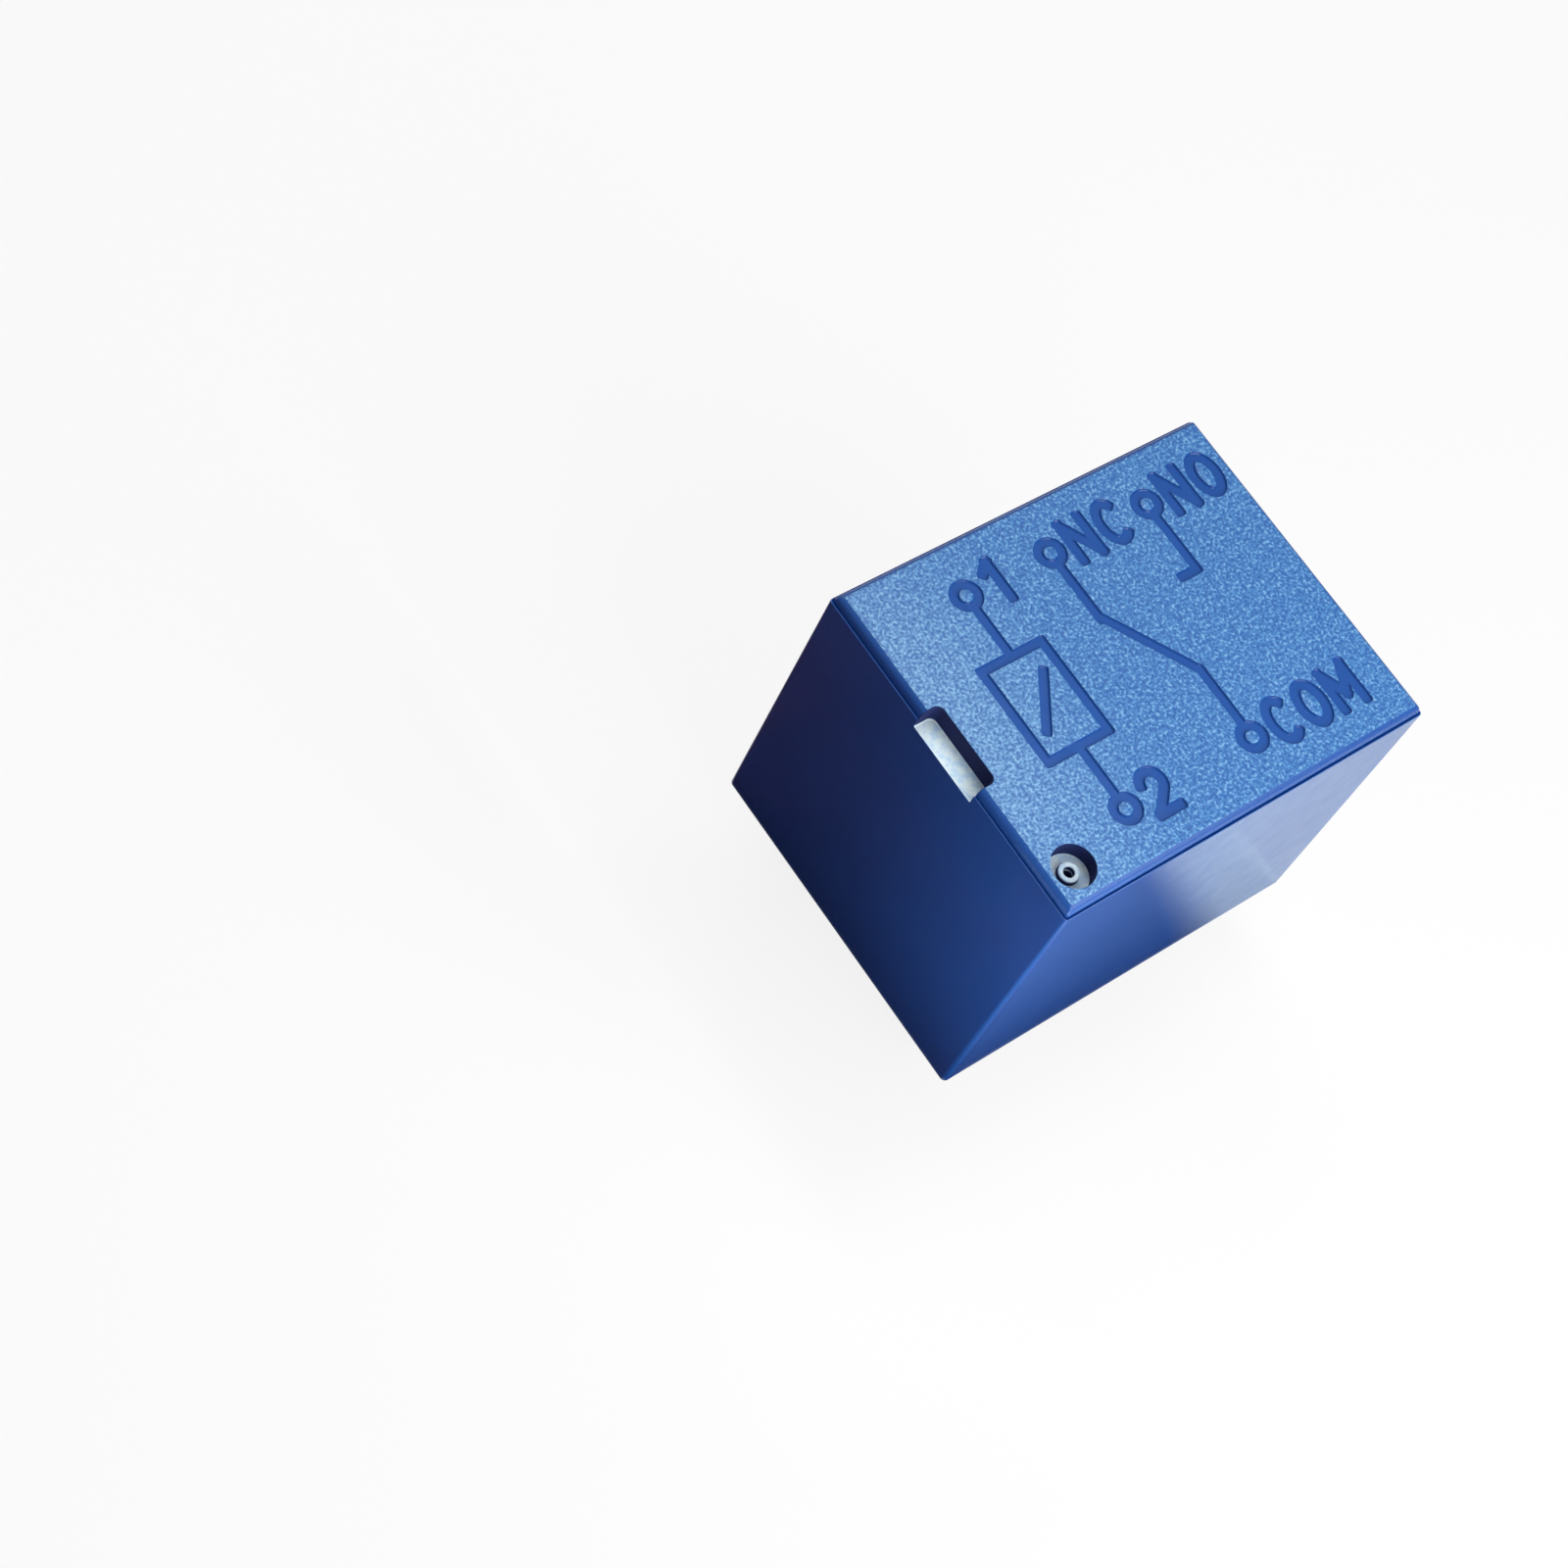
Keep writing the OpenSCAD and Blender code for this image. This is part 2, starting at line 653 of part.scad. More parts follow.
module no_contact() {
    color("gainsboro") translate([contact_x, 0, no_arm_top]) contact_rivet(blade_t);
}

module nc_contact() {
    color("gainsboro") translate([contact_x, 0, nc_arm_z]) mirror([0, 0, 1]) contact_rivet(blade_t);
}

// A contact terminal on the +Y side: pin blade, wide riser, and an arm bent over to the middle
module contact_terminal(arm_top) {
    out = pin_y + blade_t / 2;
    bend_y = out - blade_t - strip_bend_r;
    bend_z = arm_top - blade_t - strip_bend_r;
    riser_z = base_top + seat_gap;
    difference() {
        union() {
            translate([contact_x, pin_y, 0]) along_y(blade_t) blade_outline(blade_w, riser_z + blade_t);
            translate([contact_x - arm_w / 2, 0, 0]) rotate([90, 0, 90]) linear_extrude(arm_w)
                polygon(concat([[-arm_end, arm_top - blade_t]],
                               arc([bend_y, bend_z], strip_bend_r, 90, 0),
                               [[out - blade_t, riser_z], [out, riser_z]],
                               arc([bend_y, bend_z], strip_bend_r + blade_t, 0, 90),
                               [[-arm_end, arm_top]]));
        }
        translate([contact_x, 0, arm_top - blade_t - cut])
            cylinder(d = shank_d + 2 * rivet_gap, h = blade_t + 2 * cut);
    }
}

module no_terminal() {
    color("silver") mirror([0, 1, 0]) contact_terminal(no_arm_top);
}

module nc_terminal() {
    color("silver") contact_terminal(nc_arm_z + blade_t);
}

// Common terminal: pin blade that widens to a plate staked on the back of the yoke
module com_terminal() {
    plate_z = base_top + seat_gap;
    plate_w = stake_pitch + 2 * stake_d;
    color("silver") difference() {
        translate([com_x - blade_t / 2, 0, 0]) rotate([90, 0, 90]) linear_extrude(blade_t) {
            blade_outline(com_w, plate_z + blade_t);
            translate([-plate_w / 2, plate_z]) square([plate_w, stake_z + stake_d - plate_z]);
        }
        for (side = [-1, 1])
            translate([com_x - cut, side * stake_pitch / 2, stake_z])
                rotate([0, 90, 0]) cylinder(d = stake_d + 2 * rivet_gap, h = 2 * cut);
    }
}

// Coil terminal: round pin that necks down into the epoxy, square post above it
module coil_terminal() {
    nose = coil_pin_d / 4;
    collar_z = seal_recess + slot_gap;
    color("silver") translate([coil_pin_x, pin_y, 0]) {
        rotate_extrude()
            polygon([[0, -pin_l], [coil_pin_d / 2 - nose, -pin_l], [coil_pin_d / 2, nose - pin_l],
                     [coil_pin_d / 2, seal_recess - pin_neck], [coil_pin_d / 2 - slot_gap, collar_z],
                     [0, collar_z]]);
        span_block([-post_w / 2, -post_w / 2, collar_z - slot_gap], [post_w / 2, post_w / 2, post_top]);
    }
}

module coil_terminal_a() { coil_terminal(); }

module coil_terminal_b() { mirror([0, 1, 0]) coil_terminal(); }

case();
potting_seal();
base_plate();
bobbin();
coil_winding();
coil_lead_a();
coil_lead_b();
core();
yoke();
armature();
contact_spring();
armature_rivets();
yoke_rivets();
moving_contact();
no_contact();
nc_contact();
no_terminal();
nc_terminal();
com_terminal();
coil_terminal_a();
coil_terminal_b();
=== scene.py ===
from math import cos, pi, radians, sin

import bpy
import numpy as np
from mathutils import Matrix, Vector


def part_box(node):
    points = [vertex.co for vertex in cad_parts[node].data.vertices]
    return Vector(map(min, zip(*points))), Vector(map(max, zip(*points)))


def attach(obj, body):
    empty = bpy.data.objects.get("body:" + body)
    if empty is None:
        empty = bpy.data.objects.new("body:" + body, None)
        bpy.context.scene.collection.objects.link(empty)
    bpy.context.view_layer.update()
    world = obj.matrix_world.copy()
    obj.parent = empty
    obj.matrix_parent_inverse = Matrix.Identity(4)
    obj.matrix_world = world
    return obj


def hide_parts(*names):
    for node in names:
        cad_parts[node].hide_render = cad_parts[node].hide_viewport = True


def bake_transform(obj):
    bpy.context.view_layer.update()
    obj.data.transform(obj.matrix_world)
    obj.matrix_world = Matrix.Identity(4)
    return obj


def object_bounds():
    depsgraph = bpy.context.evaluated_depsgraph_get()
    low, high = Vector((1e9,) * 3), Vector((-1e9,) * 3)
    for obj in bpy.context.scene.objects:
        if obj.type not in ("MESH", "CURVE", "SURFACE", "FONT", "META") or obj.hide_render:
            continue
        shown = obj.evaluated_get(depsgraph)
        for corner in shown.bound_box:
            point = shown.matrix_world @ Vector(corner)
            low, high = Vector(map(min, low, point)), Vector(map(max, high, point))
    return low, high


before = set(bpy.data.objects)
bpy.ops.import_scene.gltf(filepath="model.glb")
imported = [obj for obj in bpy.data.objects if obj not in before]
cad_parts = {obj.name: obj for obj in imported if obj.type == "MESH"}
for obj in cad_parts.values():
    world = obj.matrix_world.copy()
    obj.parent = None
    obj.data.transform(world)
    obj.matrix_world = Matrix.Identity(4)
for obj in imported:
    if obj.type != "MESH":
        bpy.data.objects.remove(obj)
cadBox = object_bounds()
scene = bpy.context.scene
scene.view_settings.view_transform = "Standard"
mm = 0.001   # every shape below is worked out in millimetres
print("frame loaded:", len(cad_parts), "nodes")


# lowest and highest corner of a CAD node, in mm
def nodeBox(node):
    low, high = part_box(node)
    return np.array(low) / mm, np.array(high) / mm


# quads of a rows x cols grid of points, wrapped round where a direction is closed
def gridFaces(rows, cols, wrapRows=False, wrapCols=False):
    i = np.arange(rows if wrapRows else rows - 1)[:, None]
    j = np.arange(cols if wrapCols else cols - 1)[None, :]
    nextI, nextJ = (i + 1) % rows, (j + 1) % cols
    corners = [i * cols + j, i * cols + nextJ, nextI * cols + nextJ, nextI * cols + j]
    return np.stack(corners, -1).reshape(-1, 4)


def addMesh(name, points, faces):
    mesh = bpy.data.meshes.new(name)
    mesh.from_pydata((np.asarray(points) * mm).tolist(), [], faces)
    obj = bpy.data.objects.new(name, mesh)
    scene.collection.objects.link(obj)
    return obj


# closed skin over a stack of loops, counterclockwise from above and going up, with a flat cap
# at each end
def loft(name, loops):
    rows, cols = loops.shape[:2]
    faces = gridFaces(rows, cols, wrapCols=True).tolist()
    faces += [list(range(cols))[::-1], list(range((rows - 1) * cols, rows * cols))]
    return addMesh(name, loops.reshape(-1, 3), faces)


# unit loop of a rounded rectangle as corner signs (cx, cy) and outward directions (dx, dy):
# x = cx (a - r) + dx r and y = cy (b - r) + dy r, for half sizes a and b and corner radius r
def roundedLoop(cornerSteps, sideSteps):
    slide = np.linspace(-1, 1, sideSteps + 1)[1:-1, None]
    swing = np.linspace(0, pi / 2, cornerSteps + 1)
    parts = []
    for k in range(4):
        out = np.array([[round(cos(k * pi / 2)), round(sin(k * pi / 2))]])
        along = np.array([[-out[0, 1], out[0, 0]]])
        turn = swing + k * pi / 2
        parts.append(np.hstack([out + slide * along, np.repeat(out, len(slide), 0)]))
        parts.append(np.hstack([np.repeat(out + along, len(swing), 0),
                                np.stack([np.cos(turn), np.sin(turn)], 1)]))
    return np.vstack(parts).T


# points of an arc in a section plane, as rows of (across, up)
def arc(across, up, radius, fromDeg, toDeg, steps=5):
    turn = np.radians(np.linspace(fromDeg, toDeg, steps + 1))
    return np.stack([across + radius * np.cos(turn), up + radius * np.sin(turn)], 1)


# replaces an object's mesh by what its modifiers make of it
def settle(obj):
    graph = bpy.context.evaluated_depsgraph_get()
    obj.data = bpy.data.meshes.new_from_object(obj.evaluated_get(graph))
    obj.modifiers.clear()


# adds or cuts other objects in one exact boolean, and removes them
def combine(obj, others, operation):
    group = bpy.data.collections.new(operation.lower())
    scene.collection.children.link(group)
    for other in others:
        group.objects.link(other)
    step = obj.modifiers.new(operation, "BOOLEAN")
    step.operation, step.operand_type, step.collection = operation, "COLLECTION", group
    step.solver = "EXACT"
    settle(obj)
    for other in others:
        bpy.data.objects.remove(other)
    bpy.data.collections.remove(group)


# normals that follow the large faces, so that flat faces stay flat beside their rounds
def keepFlat(obj):
    obj.modifiers.new("flatFacesStayFlat", "WEIGHTED_NORMAL").keep_sharp = True


# smooth shading with flat faces kept flat, and sharp edges kept above the angle
def softenShading(obj, sharpDeg):
    obj.data.shade_smooth()
    obj.data.set_sharp_from_angle(angle=radians(sharpDeg))
    keepFlat(obj)


def dress(obj, material):
    obj.data.materials.clear()
    obj.data.materials.append(material)


# node graph helper: adds nodes of a material by type, with values or links for their sockets
class Graph:
    def __init__(self, name):
        self.material = bpy.data.materials.new(name)
        self.material.use_nodes = True
        self.tree = self.material.node_tree
        self.surface = self.tree.nodes["Principled BSDF"]
        self.place = self.tree.nodes.new("ShaderNodeTexCoord").outputs["Object"]

    def add(self, kind, inputs=(), **settings):
        node = self.tree.nodes.new("ShaderNode" + kind)
        for key, value in settings.items():
            setattr(node, key, value)
        for key, value in dict(inputs).items():
            self.put(node.inputs[key], value)
        return node

    def put(self, socket, value):
        if isinstance(value, bpy.types.NodeSocket):
            self.tree.links.new(value, socket)
        else:
            socket.default_value = value

    def noise(self, sizeMm, detail=2, rough=0.5, place=None):
        return self.add("TexNoise", {"Vector": place or self.place, "Scale": 1 / (sizeMm * mm),
                                     "Detail": detail, "Roughness": rough}).outputs["Fac"]

    # value taken from one range to another, clamped
    def span(self, value, fromLow, fromHigh, toLow=0.0, toHigh=1.0, soft=False):
        return self.add("MapRange", {"Value": value, "From Min": fromLow, "From Max": fromHigh,
                                     "To Min": toLow, "To Max": toHigh},
                        interpolation_type="SMOOTHSTEP" if soft else "LINEAR").outputs["Result"]

    def mathNode(self, operation, a, b=0):
        return self.add("Math", {0: a, 1: b}, operation=operation).outputs[0]

    def times(self, a, b):
        return self.mathNode("MULTIPLY", a, b)

    def most(self, a, b):
        return self.mathNode("MAXIMUM", a, b)

    def above(self, a, b):
        return self.mathNode("GREATER_THAN", a, b)

    def below(self, a, b):
        return self.mathNode("LESS_THAN", a, b)

    # two values added in the given shares
    def shared(self, a, b, shares):
        return self.mathNode("ADD", self.times(a, shares[0]), self.times(b, shares[1]))

    # length of a flat vector
    def away(self, dx, dy):
        return self.mathNode("SQRT", self.mathNode("ADD", self.times(dx, dx), self.times(dy, dy)))

    def mix(self, share, low, high):
        return self.add("Mix", {"Factor": share, 2: low, 3: high}).outputs[0]

    def blend(self, share, low, high):
        node = self.add("Mix", {"Factor": share, 6: low, 7: high}, data_type="RGBA")
        return node.outputs[2]

    def bump(self, height, strength, reachMm, onto=None):
        inputs = {"Height": height, "Strength": strength, "Distance": reachMm * mm}
        if onto is not None:
            inputs["Normal"] = onto
        return self.add("Bump", inputs).outputs["Normal"]

    def finish(self, **sockets):
        for key, value in sockets.items():
            self.put(self.surface.inputs[key.replace("_", " ")], value)
        return self.material


def rgb(red, green, blue):
    return (red, green, blue, 1.0)


# camera: the heading turns from +Y towards +X, and the roll leans the frame
camera = {"eye": (-63.572, -25.490, 105.718), "heading": 60.2909, "pitch": -58.5707,
          "roll": -28.5011, "lens": 67.877, "sensor": 36.0, "clip": (0.005, 10.0)}


def addCamera(spec):
    heading, pitch, roll = (radians(spec[key]) for key in ("heading", "pitch", "roll"))
    ahead = Vector((sin(heading) * cos(pitch), cos(heading) * cos(pitch), sin(pitch)))
    level = Vector((cos(heading), -sin(heading), 0))
    below = ahead.cross(level)
    right = level * cos(roll) + below * sin(roll)
    down = below * cos(roll) - level * sin(roll)
    data = bpy.data.cameras.new("camera")
    data.lens, data.sensor_width = spec["lens"], spec["sensor"]
    data.clip_start, data.clip_end = spec["clip"]
    obj = bpy.data.objects.new("camera", data)
    turn = Matrix((right, -down, -ahead)).transposed().to_4x4()
    obj.matrix_world = Matrix.Translation(Vector(spec["eye"]) * mm) @ turn
    scene.collection.objects.link(obj)
    scene.camera = obj


addCamera(camera)
print("camera set")


# studio: pale floor under the pin tips, a soft box overhead, one behind, a fill in front and a small one
# for the near edge. Dark sheets level with the rim and a dark flag beside the notched end put a painted
# shadow in the gloss of the walls and painted shade on them; they stop short of the pins, which mirror the
# pale floor
studio = {"floorReach": 1500.0, "floorShade": 0.86, "floorSheen": 0.1, "paperRough": 0.9,
          "whitening": 0.86, "glossWhitening": 0.1, "worldShade": 0.17, "worldGloss": 0.2,
          "aim": (0.0, 0.0, 8.0),
          # sheets seen only in gloss carry a painted shadow of the floor beside the walls; those seen only in
          # diffuse light put painted shade at the walls' feet
          "sheets": {"front": {"x": (-27.0, 34.0), "y": (-16.0, -7.8), "rays": "glossy",
                               "dark": (0.060, 0.028, 0.040)},
                     "side": {"x": (-27.0, -9.6), "y": (-7.8, 26.0), "rays": "glossy",
                              "dark": (0.150, 0.030, 0.045)},
                     "frontFoot": {"x": (-9.6, 9.6), "y": (-11.5, -7.8), "rays": "diffuse",
                                   "dark": (0.060, 0.030, 0.040)},
                     "sideFoot": {"x": (-15.0, -9.6), "y": (-11.5, 9.0), "rays": "diffuse",
                                  "dark": (0.060, 0.030, 0.040)}},
          "sheetFade": {"height": -0.05, "fadeX": (2.8, 6.9), "fadeY": (7.5, 10.7), "fadeShare": 0.22,
                        "pale": (0.79, 0.86, 0.85)},
          # dark flag seen only in diffuse light and gloss: painted shade and a dark reflection on the notched
          # end's wall
          "flag": {"x": -15.5, "y": (-3.0, 22.0), "z": (0.0, 16.0), "shade": (0.26, 0.05, 0.07)},
          "lamps": {"topBox": {"toward": (0.20, 0.09, 0.97), "away": 300.0, "size": (180.0, 180.0),
                               "power": 0.221},
                    "backBox": {"toward": (0.185, 0.616, 0.766), "away": 300.0, "size": (150.0, 150.0),
                                "power": 0.26},
                    "frontFill": {"toward": (0.04, -0.80, 0.60), "away": 75.0, "size": (80.0, 80.0),
                                  "power": 0.056},
                    "edgeFill": {"toward": (-0.62, -0.74, 0.26), "away": 24.0, "size": (8.0, 8.0),
                                 "power": 0.0012}}}


# level sheet as a grid of points over two ranges
def addSheet(name, xRange, yRange, height, steps=9):
    x, y = np.meshgrid(np.linspace(*xRange, steps), np.linspace(*yRange, steps), indexing="ij")
    points = np.stack([x, y, np.full_like(x, height)], -1).reshape(-1, 3)
    return addMesh(name, points, gridFaces(steps, steps)[:, ::-1].tolist())


def addFloor(spec, height):
    reach = (-spec["floorReach"], spec["floorReach"])
    floor = addSheet("floor", reach, reach, height)
    g = Graph("palePaper")
    g.finish(Base_Color=rgb(*[spec["floorShade"]] * 3), Roughness=spec["paperRough"],
             Specular_IOR_Level=spec["floorSheen"])
    seen = g.add("LightPath").outputs
    direct = g.most(seen["Is Camera Ray"], seen["Is Transmission Ray"])
    share = g.shared(direct, seen["Is Glossy Ray"], (spec["whitening"], spec["glossWhitening"]))
    white = g.add("Emission", {"Color": rgb(1, 1, 1), "Strength": 1.0})
    mix = g.add("MixShader", {0: share, 1: g.surface.outputs[0], 2: white.outputs[0]})
    g.tree.links.new(mix.outputs[0], g.tree.nodes["Material Output"].inputs["Surface"])
    dress(floor, g.material)


# painted shadow of the floor for the dark sheets: dark beside the walls, pale past the far end and a little
# paler further out, where the floor is lit
def paintedShadowSheet(dark, spec):
    g = Graph("paintedShadowSheet")
    axes = g.add("SeparateXYZ", {0: g.place}).outputs
    fromX, toX = (x * mm for x in spec["fadeX"])
    fromY, toY = (-y * mm for y in spec["fadeY"])
    pastEnd = g.span(axes["X"], fromX, toX, soft=True)
    outward = g.span(axes["Y"], fromY, toY, 0, spec["fadeShare"], soft=True)
    colour = g.blend(g.most(pastEnd, outward), rgb(*dark), rgb(*spec["pale"]))
    return g.finish(Base_Color=colour, Roughness=studio["paperRough"], Specular_IOR_Level=0.0)


# sheet that only one kind of ray meets, carrying a painted shadow
def addDarkSheet(name, spec, fade):
    sheet = addSheet(name + "Sheet", spec["x"], spec["y"], fade["height"])
    for ray in ("camera", "diffuse", "glossy", "transmission", "volume_scatter", "shadow"):
        setattr(sheet, "visible_" + ray, ray == spec["rays"])
    dress(sheet, paintedShadowSheet(spec["dark"], fade))


# upright sheet as a grid of points over two ranges: a dark flag, seen only in diffuse light and gloss, that
# puts painted shade and a dark reflection on the notched end's wall
def addFlag(spec, steps=5):
    y, z = np.meshgrid(np.linspace(*spec["y"], steps), np.linspace(*spec["z"], steps), indexing="ij")
    points = np.stack([np.full_like(y, spec["x"]), y, z], -1).reshape(-1, 3)
    flag = addMesh("darkFlag", points, gridFaces(steps, steps).tolist())
    flag.visible_camera = flag.visible_shadow = False
    g = Graph("flagPaintedShade")
    dress(flag, g.finish(Base_Color=rgb(*spec["shade"]), Roughness=studio["paperRough"],
                         Specular_IOR_Level=0.0))


def addLamp(name, spec, aim):
    data = bpy.data.lights.new(name, "AREA")
    data.shape, data.energy = "RECTANGLE", spec["power"]
    data.size, data.size_y = (side * mm for side in spec["size"])
    obj = bpy.data.objects.new(name, data)
    toward = Vector(spec["toward"]).normalized()
    obj.location = Vector(aim) * mm + toward * spec["away"] * mm
    obj.rotation_euler = toward.to_track_quat("Z", "Y").to_euler()
    obj.visible_camera = False
    scene.collection.objects.link(obj)


# world: white where it is seen directly, paler in gloss, and a plain shade where it lights the object
def addWorld(shade, gloss):
    world = bpy.data.worlds.new("room")
    scene.world = world
    world.use_nodes = True
    nodes, links = world.node_tree.nodes, world.node_tree.links
    path = nodes.new("ShaderNodeLightPath")
    direct, mirrored, seen = (nodes.new("ShaderNodeMath") for step in range(3))
    direct.operation, mirrored.operation, seen.operation = "MAXIMUM", "MULTIPLY", "MAXIMUM"
    links.new(path.outputs["Is Camera Ray"], direct.inputs[0])
    links.new(path.outputs["Is Transmission Ray"], direct.inputs[1])
    links.new(path.outputs["Is Glossy Ray"], mirrored.inputs[0])
    mirrored.inputs[1].default_value = gloss
    links.new(direct.outputs[0], seen.inputs[0])
    links.new(mirrored.outputs[0], seen.inputs[1])
    level = nodes.new("ShaderNodeMapRange")
    level.inputs["To Min"].default_value, level.inputs["To Max"].default_value = shade, 1.0
    links.new(seen.outputs[0], level.inputs["Value"])
    links.new(level.outputs[0], nodes["Background"].inputs["Strength"])
    nodes["Background"].inputs["Color"].default_value = rgb(1, 1, 1)


addFloor(studio, cadBox[0].z / mm)
for sheetName, sheetSpec in studio["sheets"].items():
    addDarkSheet(sheetName, sheetSpec, studio["sheetFade"])
addFlag(studio["flag"])
addWorld(studio["worldShade"], studio["worldGloss"])
for lampName, lampSpec in studio["lamps"].items():
    addLamp(lampName, lampSpec, studio["aim"])
print("studio set")


# case: drafted walls, a shoulder with a fine crease, and a raised panel with a rounded edge
caseShape = {"wall": 0.65, "ceiling": 1.0, "draft": 0.2, "corner": 0.24, "insideRound": 0.3,
             "panelHeight": 0.45, "panelStep": 0.10, "panelRound": (0.30, 0.42), "shoulderRound": 0.035,
             "creaseDepth": 0.11, "creaseWidth": 0.03, "creaseSide": 0.8, "rimRound": 0.07, "bow": 0.05,
             "cornerMin": 0.1, "cornerSteps": 6, "sideSteps": 24, "wallSteps": 20, "panelSteps": 10}
caseLow, caseHigh = nodeBox("case")
caseTop = caseHigh[2]


# section of the case as (inset from the rim outline, height), from the ceiling inside, down, round the
# rim and up to the panel. Each wall leans in by draft z / height
def caseSection(spec):
    def lean(z):
        return spec["draft"] * z / caseTop

    ceiling, shoulder = caseTop - spec["ceiling"], caseTop - spec["panelHeight"]
    soft, rim, edge = (spec[key] for key in ("insideRound", "rimRound", "shoulderRound"))
    across, up = spec["panelRound"]
    inside = spec["wall"] + lean(ceiling)
    rise = np.linspace(2 * rim, shoulder - 2 * edge, spec["wallSteps"])
    panel = spec["panelStep"] + lean(caseTop)
    creaseWidth, creaseFloor = spec["creaseWidth"], shoulder - spec["creaseDepth"]
    creaseSide = shoulder - spec["creaseSide"] * spec["creaseDepth"]
    return np.vstack([
        arc(inside + soft, ceiling - soft, soft, 90, 180),
        [[spec["wall"], rim / 2], [spec["wall"] - rim / 2, 0], [2 * rim, 0]],
        arc(rim, rim, rim, 270, 180),
        np.stack([lean(rise), rise], 1),
        arc(lean(shoulder) + edge, shoulder - edge, edge, 180, 90),
        [[panel - creaseWidth, creaseSide], [panel - creaseWidth / 2, creaseFloor], [panel, creaseSide]],
        arc(0, 0, 1, 180, 90, spec["panelSteps"]) * (across, up) + (panel + across, caseTop - up)])


# the section carried round a rounded rectangle, whose corner radius falls by half the inset; the bow draws
# the middle of each wall in by bow (1 - s^2) sin(pi z / height), with s from -1 to 1 along the wall
def caseLoops(spec):
    inset, z = caseSection(spec).T[:, :, None]
    cx, cy, dx, dy = roundedLoop(spec["cornerSteps"], spec["sideSteps"])
    a, b = caseHigh[0] - inset, caseHigh[1] - inset
    r = np.clip(spec["corner"] - inset / 2, spec["cornerMin"], None)
    sag = spec["bow"] * np.sin(pi * np.clip(z / (caseTop - spec["panelHeight"]), 0, 1))
    x = cx * (a - r) + dx * r - dx * sag * (1 - cy ** 2)
    y = cy * (b - r) + dy * r - dy * sag * (1 - cx ** 2)
    return np.stack([x, y, np.broadcast_to(z, x.shape)], -1)


case = loft("moulded_case", caseLoops(caseShape))
print("case lofted:", len(case.data.polygons), "faces")


# forms inside the case: pads under the notch and the vent, and four crush ribs
notch = {"width": 3.6, "reach": 1.1, "depth": 0.95, "corner": 0.3, "skin": 0.55, "lip": 0.07, "fillet": 0.08,
         "overshoot": 2.0}
vent = {"x": 1.6, "y": 1.75, "radius": 0.9, "depth": 0.8, "nibRadius": 0.425, "nibHeight": 0.3,
        "nibLip": 0.06, "nibLean": 0.02, "holeRadius": 0.225, "holeLip": 0.05, "holeFloor": 0.05,
        "holeFillet": (0.03, 0.04), "skin": 0.4, "lip": 0.04, "fillet": 0.07, "axis": 0.004, "steps": 72}
ribs = {"fromEnd": 3.0, "width": 0.5, "reach": 0.25, "foot": 0.02, "height": 0.97}
pads = {"fromOutside": 0.5, "notchUnder": 0.5, "ventUnder": 0.6, "axis": 0.01, "steps": 48}
cutClear = 0.4   # how far the cutters stand above the panel


# block with rounded upright edges from one corner to the other
def block(name, low, high, radius=0.05):
    low, high = np.array(low, float), np.array(high, float)
    a, b = (high - low)[:2] / 2
    cx, cy, dx, dy = roundedLoop(cornerSteps=3, sideSteps=2)
    flat = np.stack([cx * (a - radius) + dx * radius, cy * (b - radius) + dy * radius], -1)
    flat = flat + (low + high)[:2] / 2
    loops = [np.column_stack([flat, np.full(len(flat), z)]) for z in (low[2], high[2])]
    return loft(name, np.stack(loops))


# solid turned about an upright axis from a section of (radius, height) that starts and ends on the axis
def turned(name, x, y, section, steps):
    turn = np.linspace(0, 2 * pi, steps, endpoint=False)
    radius, z = np.asarray(section, float).T[:, :, None]
    loops = np.stack([x + radius * np.cos(turn), y + radius * np.sin(turn), z + 0 * turn], -1)
    return loft(name, loops)


ventX, ventY = caseLow[0] + vent["x"], caseLow[1] + vent["y"]
notchFloor, ventFloor = caseTop - notch["depth"], caseTop - vent["depth"]
padHalf = notch["width"] / 2 + notch["skin"]
padWide = vent["radius"] + vent["skin"]
padLow, padHigh = ventFloor - 2 * vent["skin"], caseTop - pads["ventUnder"]
added = [block("notchPad", (caseLow[0] + pads["fromOutside"], -padHalf, notchFloor - notch["skin"]),
               (caseLow[0] + notch["reach"] + notch["skin"], padHalf, caseTop - pads["notchUnder"])),
         turned("ventPad", ventX, ventY, [(pads["axis"], padLow), (padWide, padLow), (padWide, padHigh),
                                          (pads["axis"], padHigh)], pads["steps"])]
for endX in (caseLow[0] + ribs["fromEnd"], caseHigh[0] - ribs["fromEnd"]):
    for side in (-1, 1):
        inner = caseHigh[1] - caseShape["wall"] - ribs["reach"]
        outer = caseHigh[1] - caseShape["wall"] / 2
        y0, y1 = sorted((side * inner, side * outer))
        added.append(block("rib", (endX - ribs["width"] / 2, y0, ribs["foot"]),
                           (endX + ribs["width"] / 2, y1, ribs["height"])))
combine(case, added, "UNION")
print("case inside made")


# notch that is open at the end: a rounded rectangle grown by the offsets, one loop for each height
def notchCutter(spec):
    lip, fillet, floor = spec["lip"], spec["fillet"], notchFloor
    flare = np.vstack([[[-fillet, floor]], arc(-fillet, floor + fillet, fillet, 285, 360, 4),
                       arc(lip, caseTop - lip, lip, 180, 90, 4), [[lip, caseTop + cutClear]]])
    grow, z = flare.T[:, :, None]
    cx, cy, dx, dy = roundedLoop(cornerSteps=8, sideSteps=2)
    reach, past = spec["reach"], spec["overshoot"]
    a, b, r = (reach + past) / 2 + grow, spec["width"] / 2 + grow, spec["corner"] + grow
    x = caseLow[0] + (reach - past) / 2 + cx * (a - r) + dx * r
    y = cy * (b - r) + dy * r
    return loft("notchCut", np.stack([x, y, np.broadcast_to(z, x.shape)], -1))


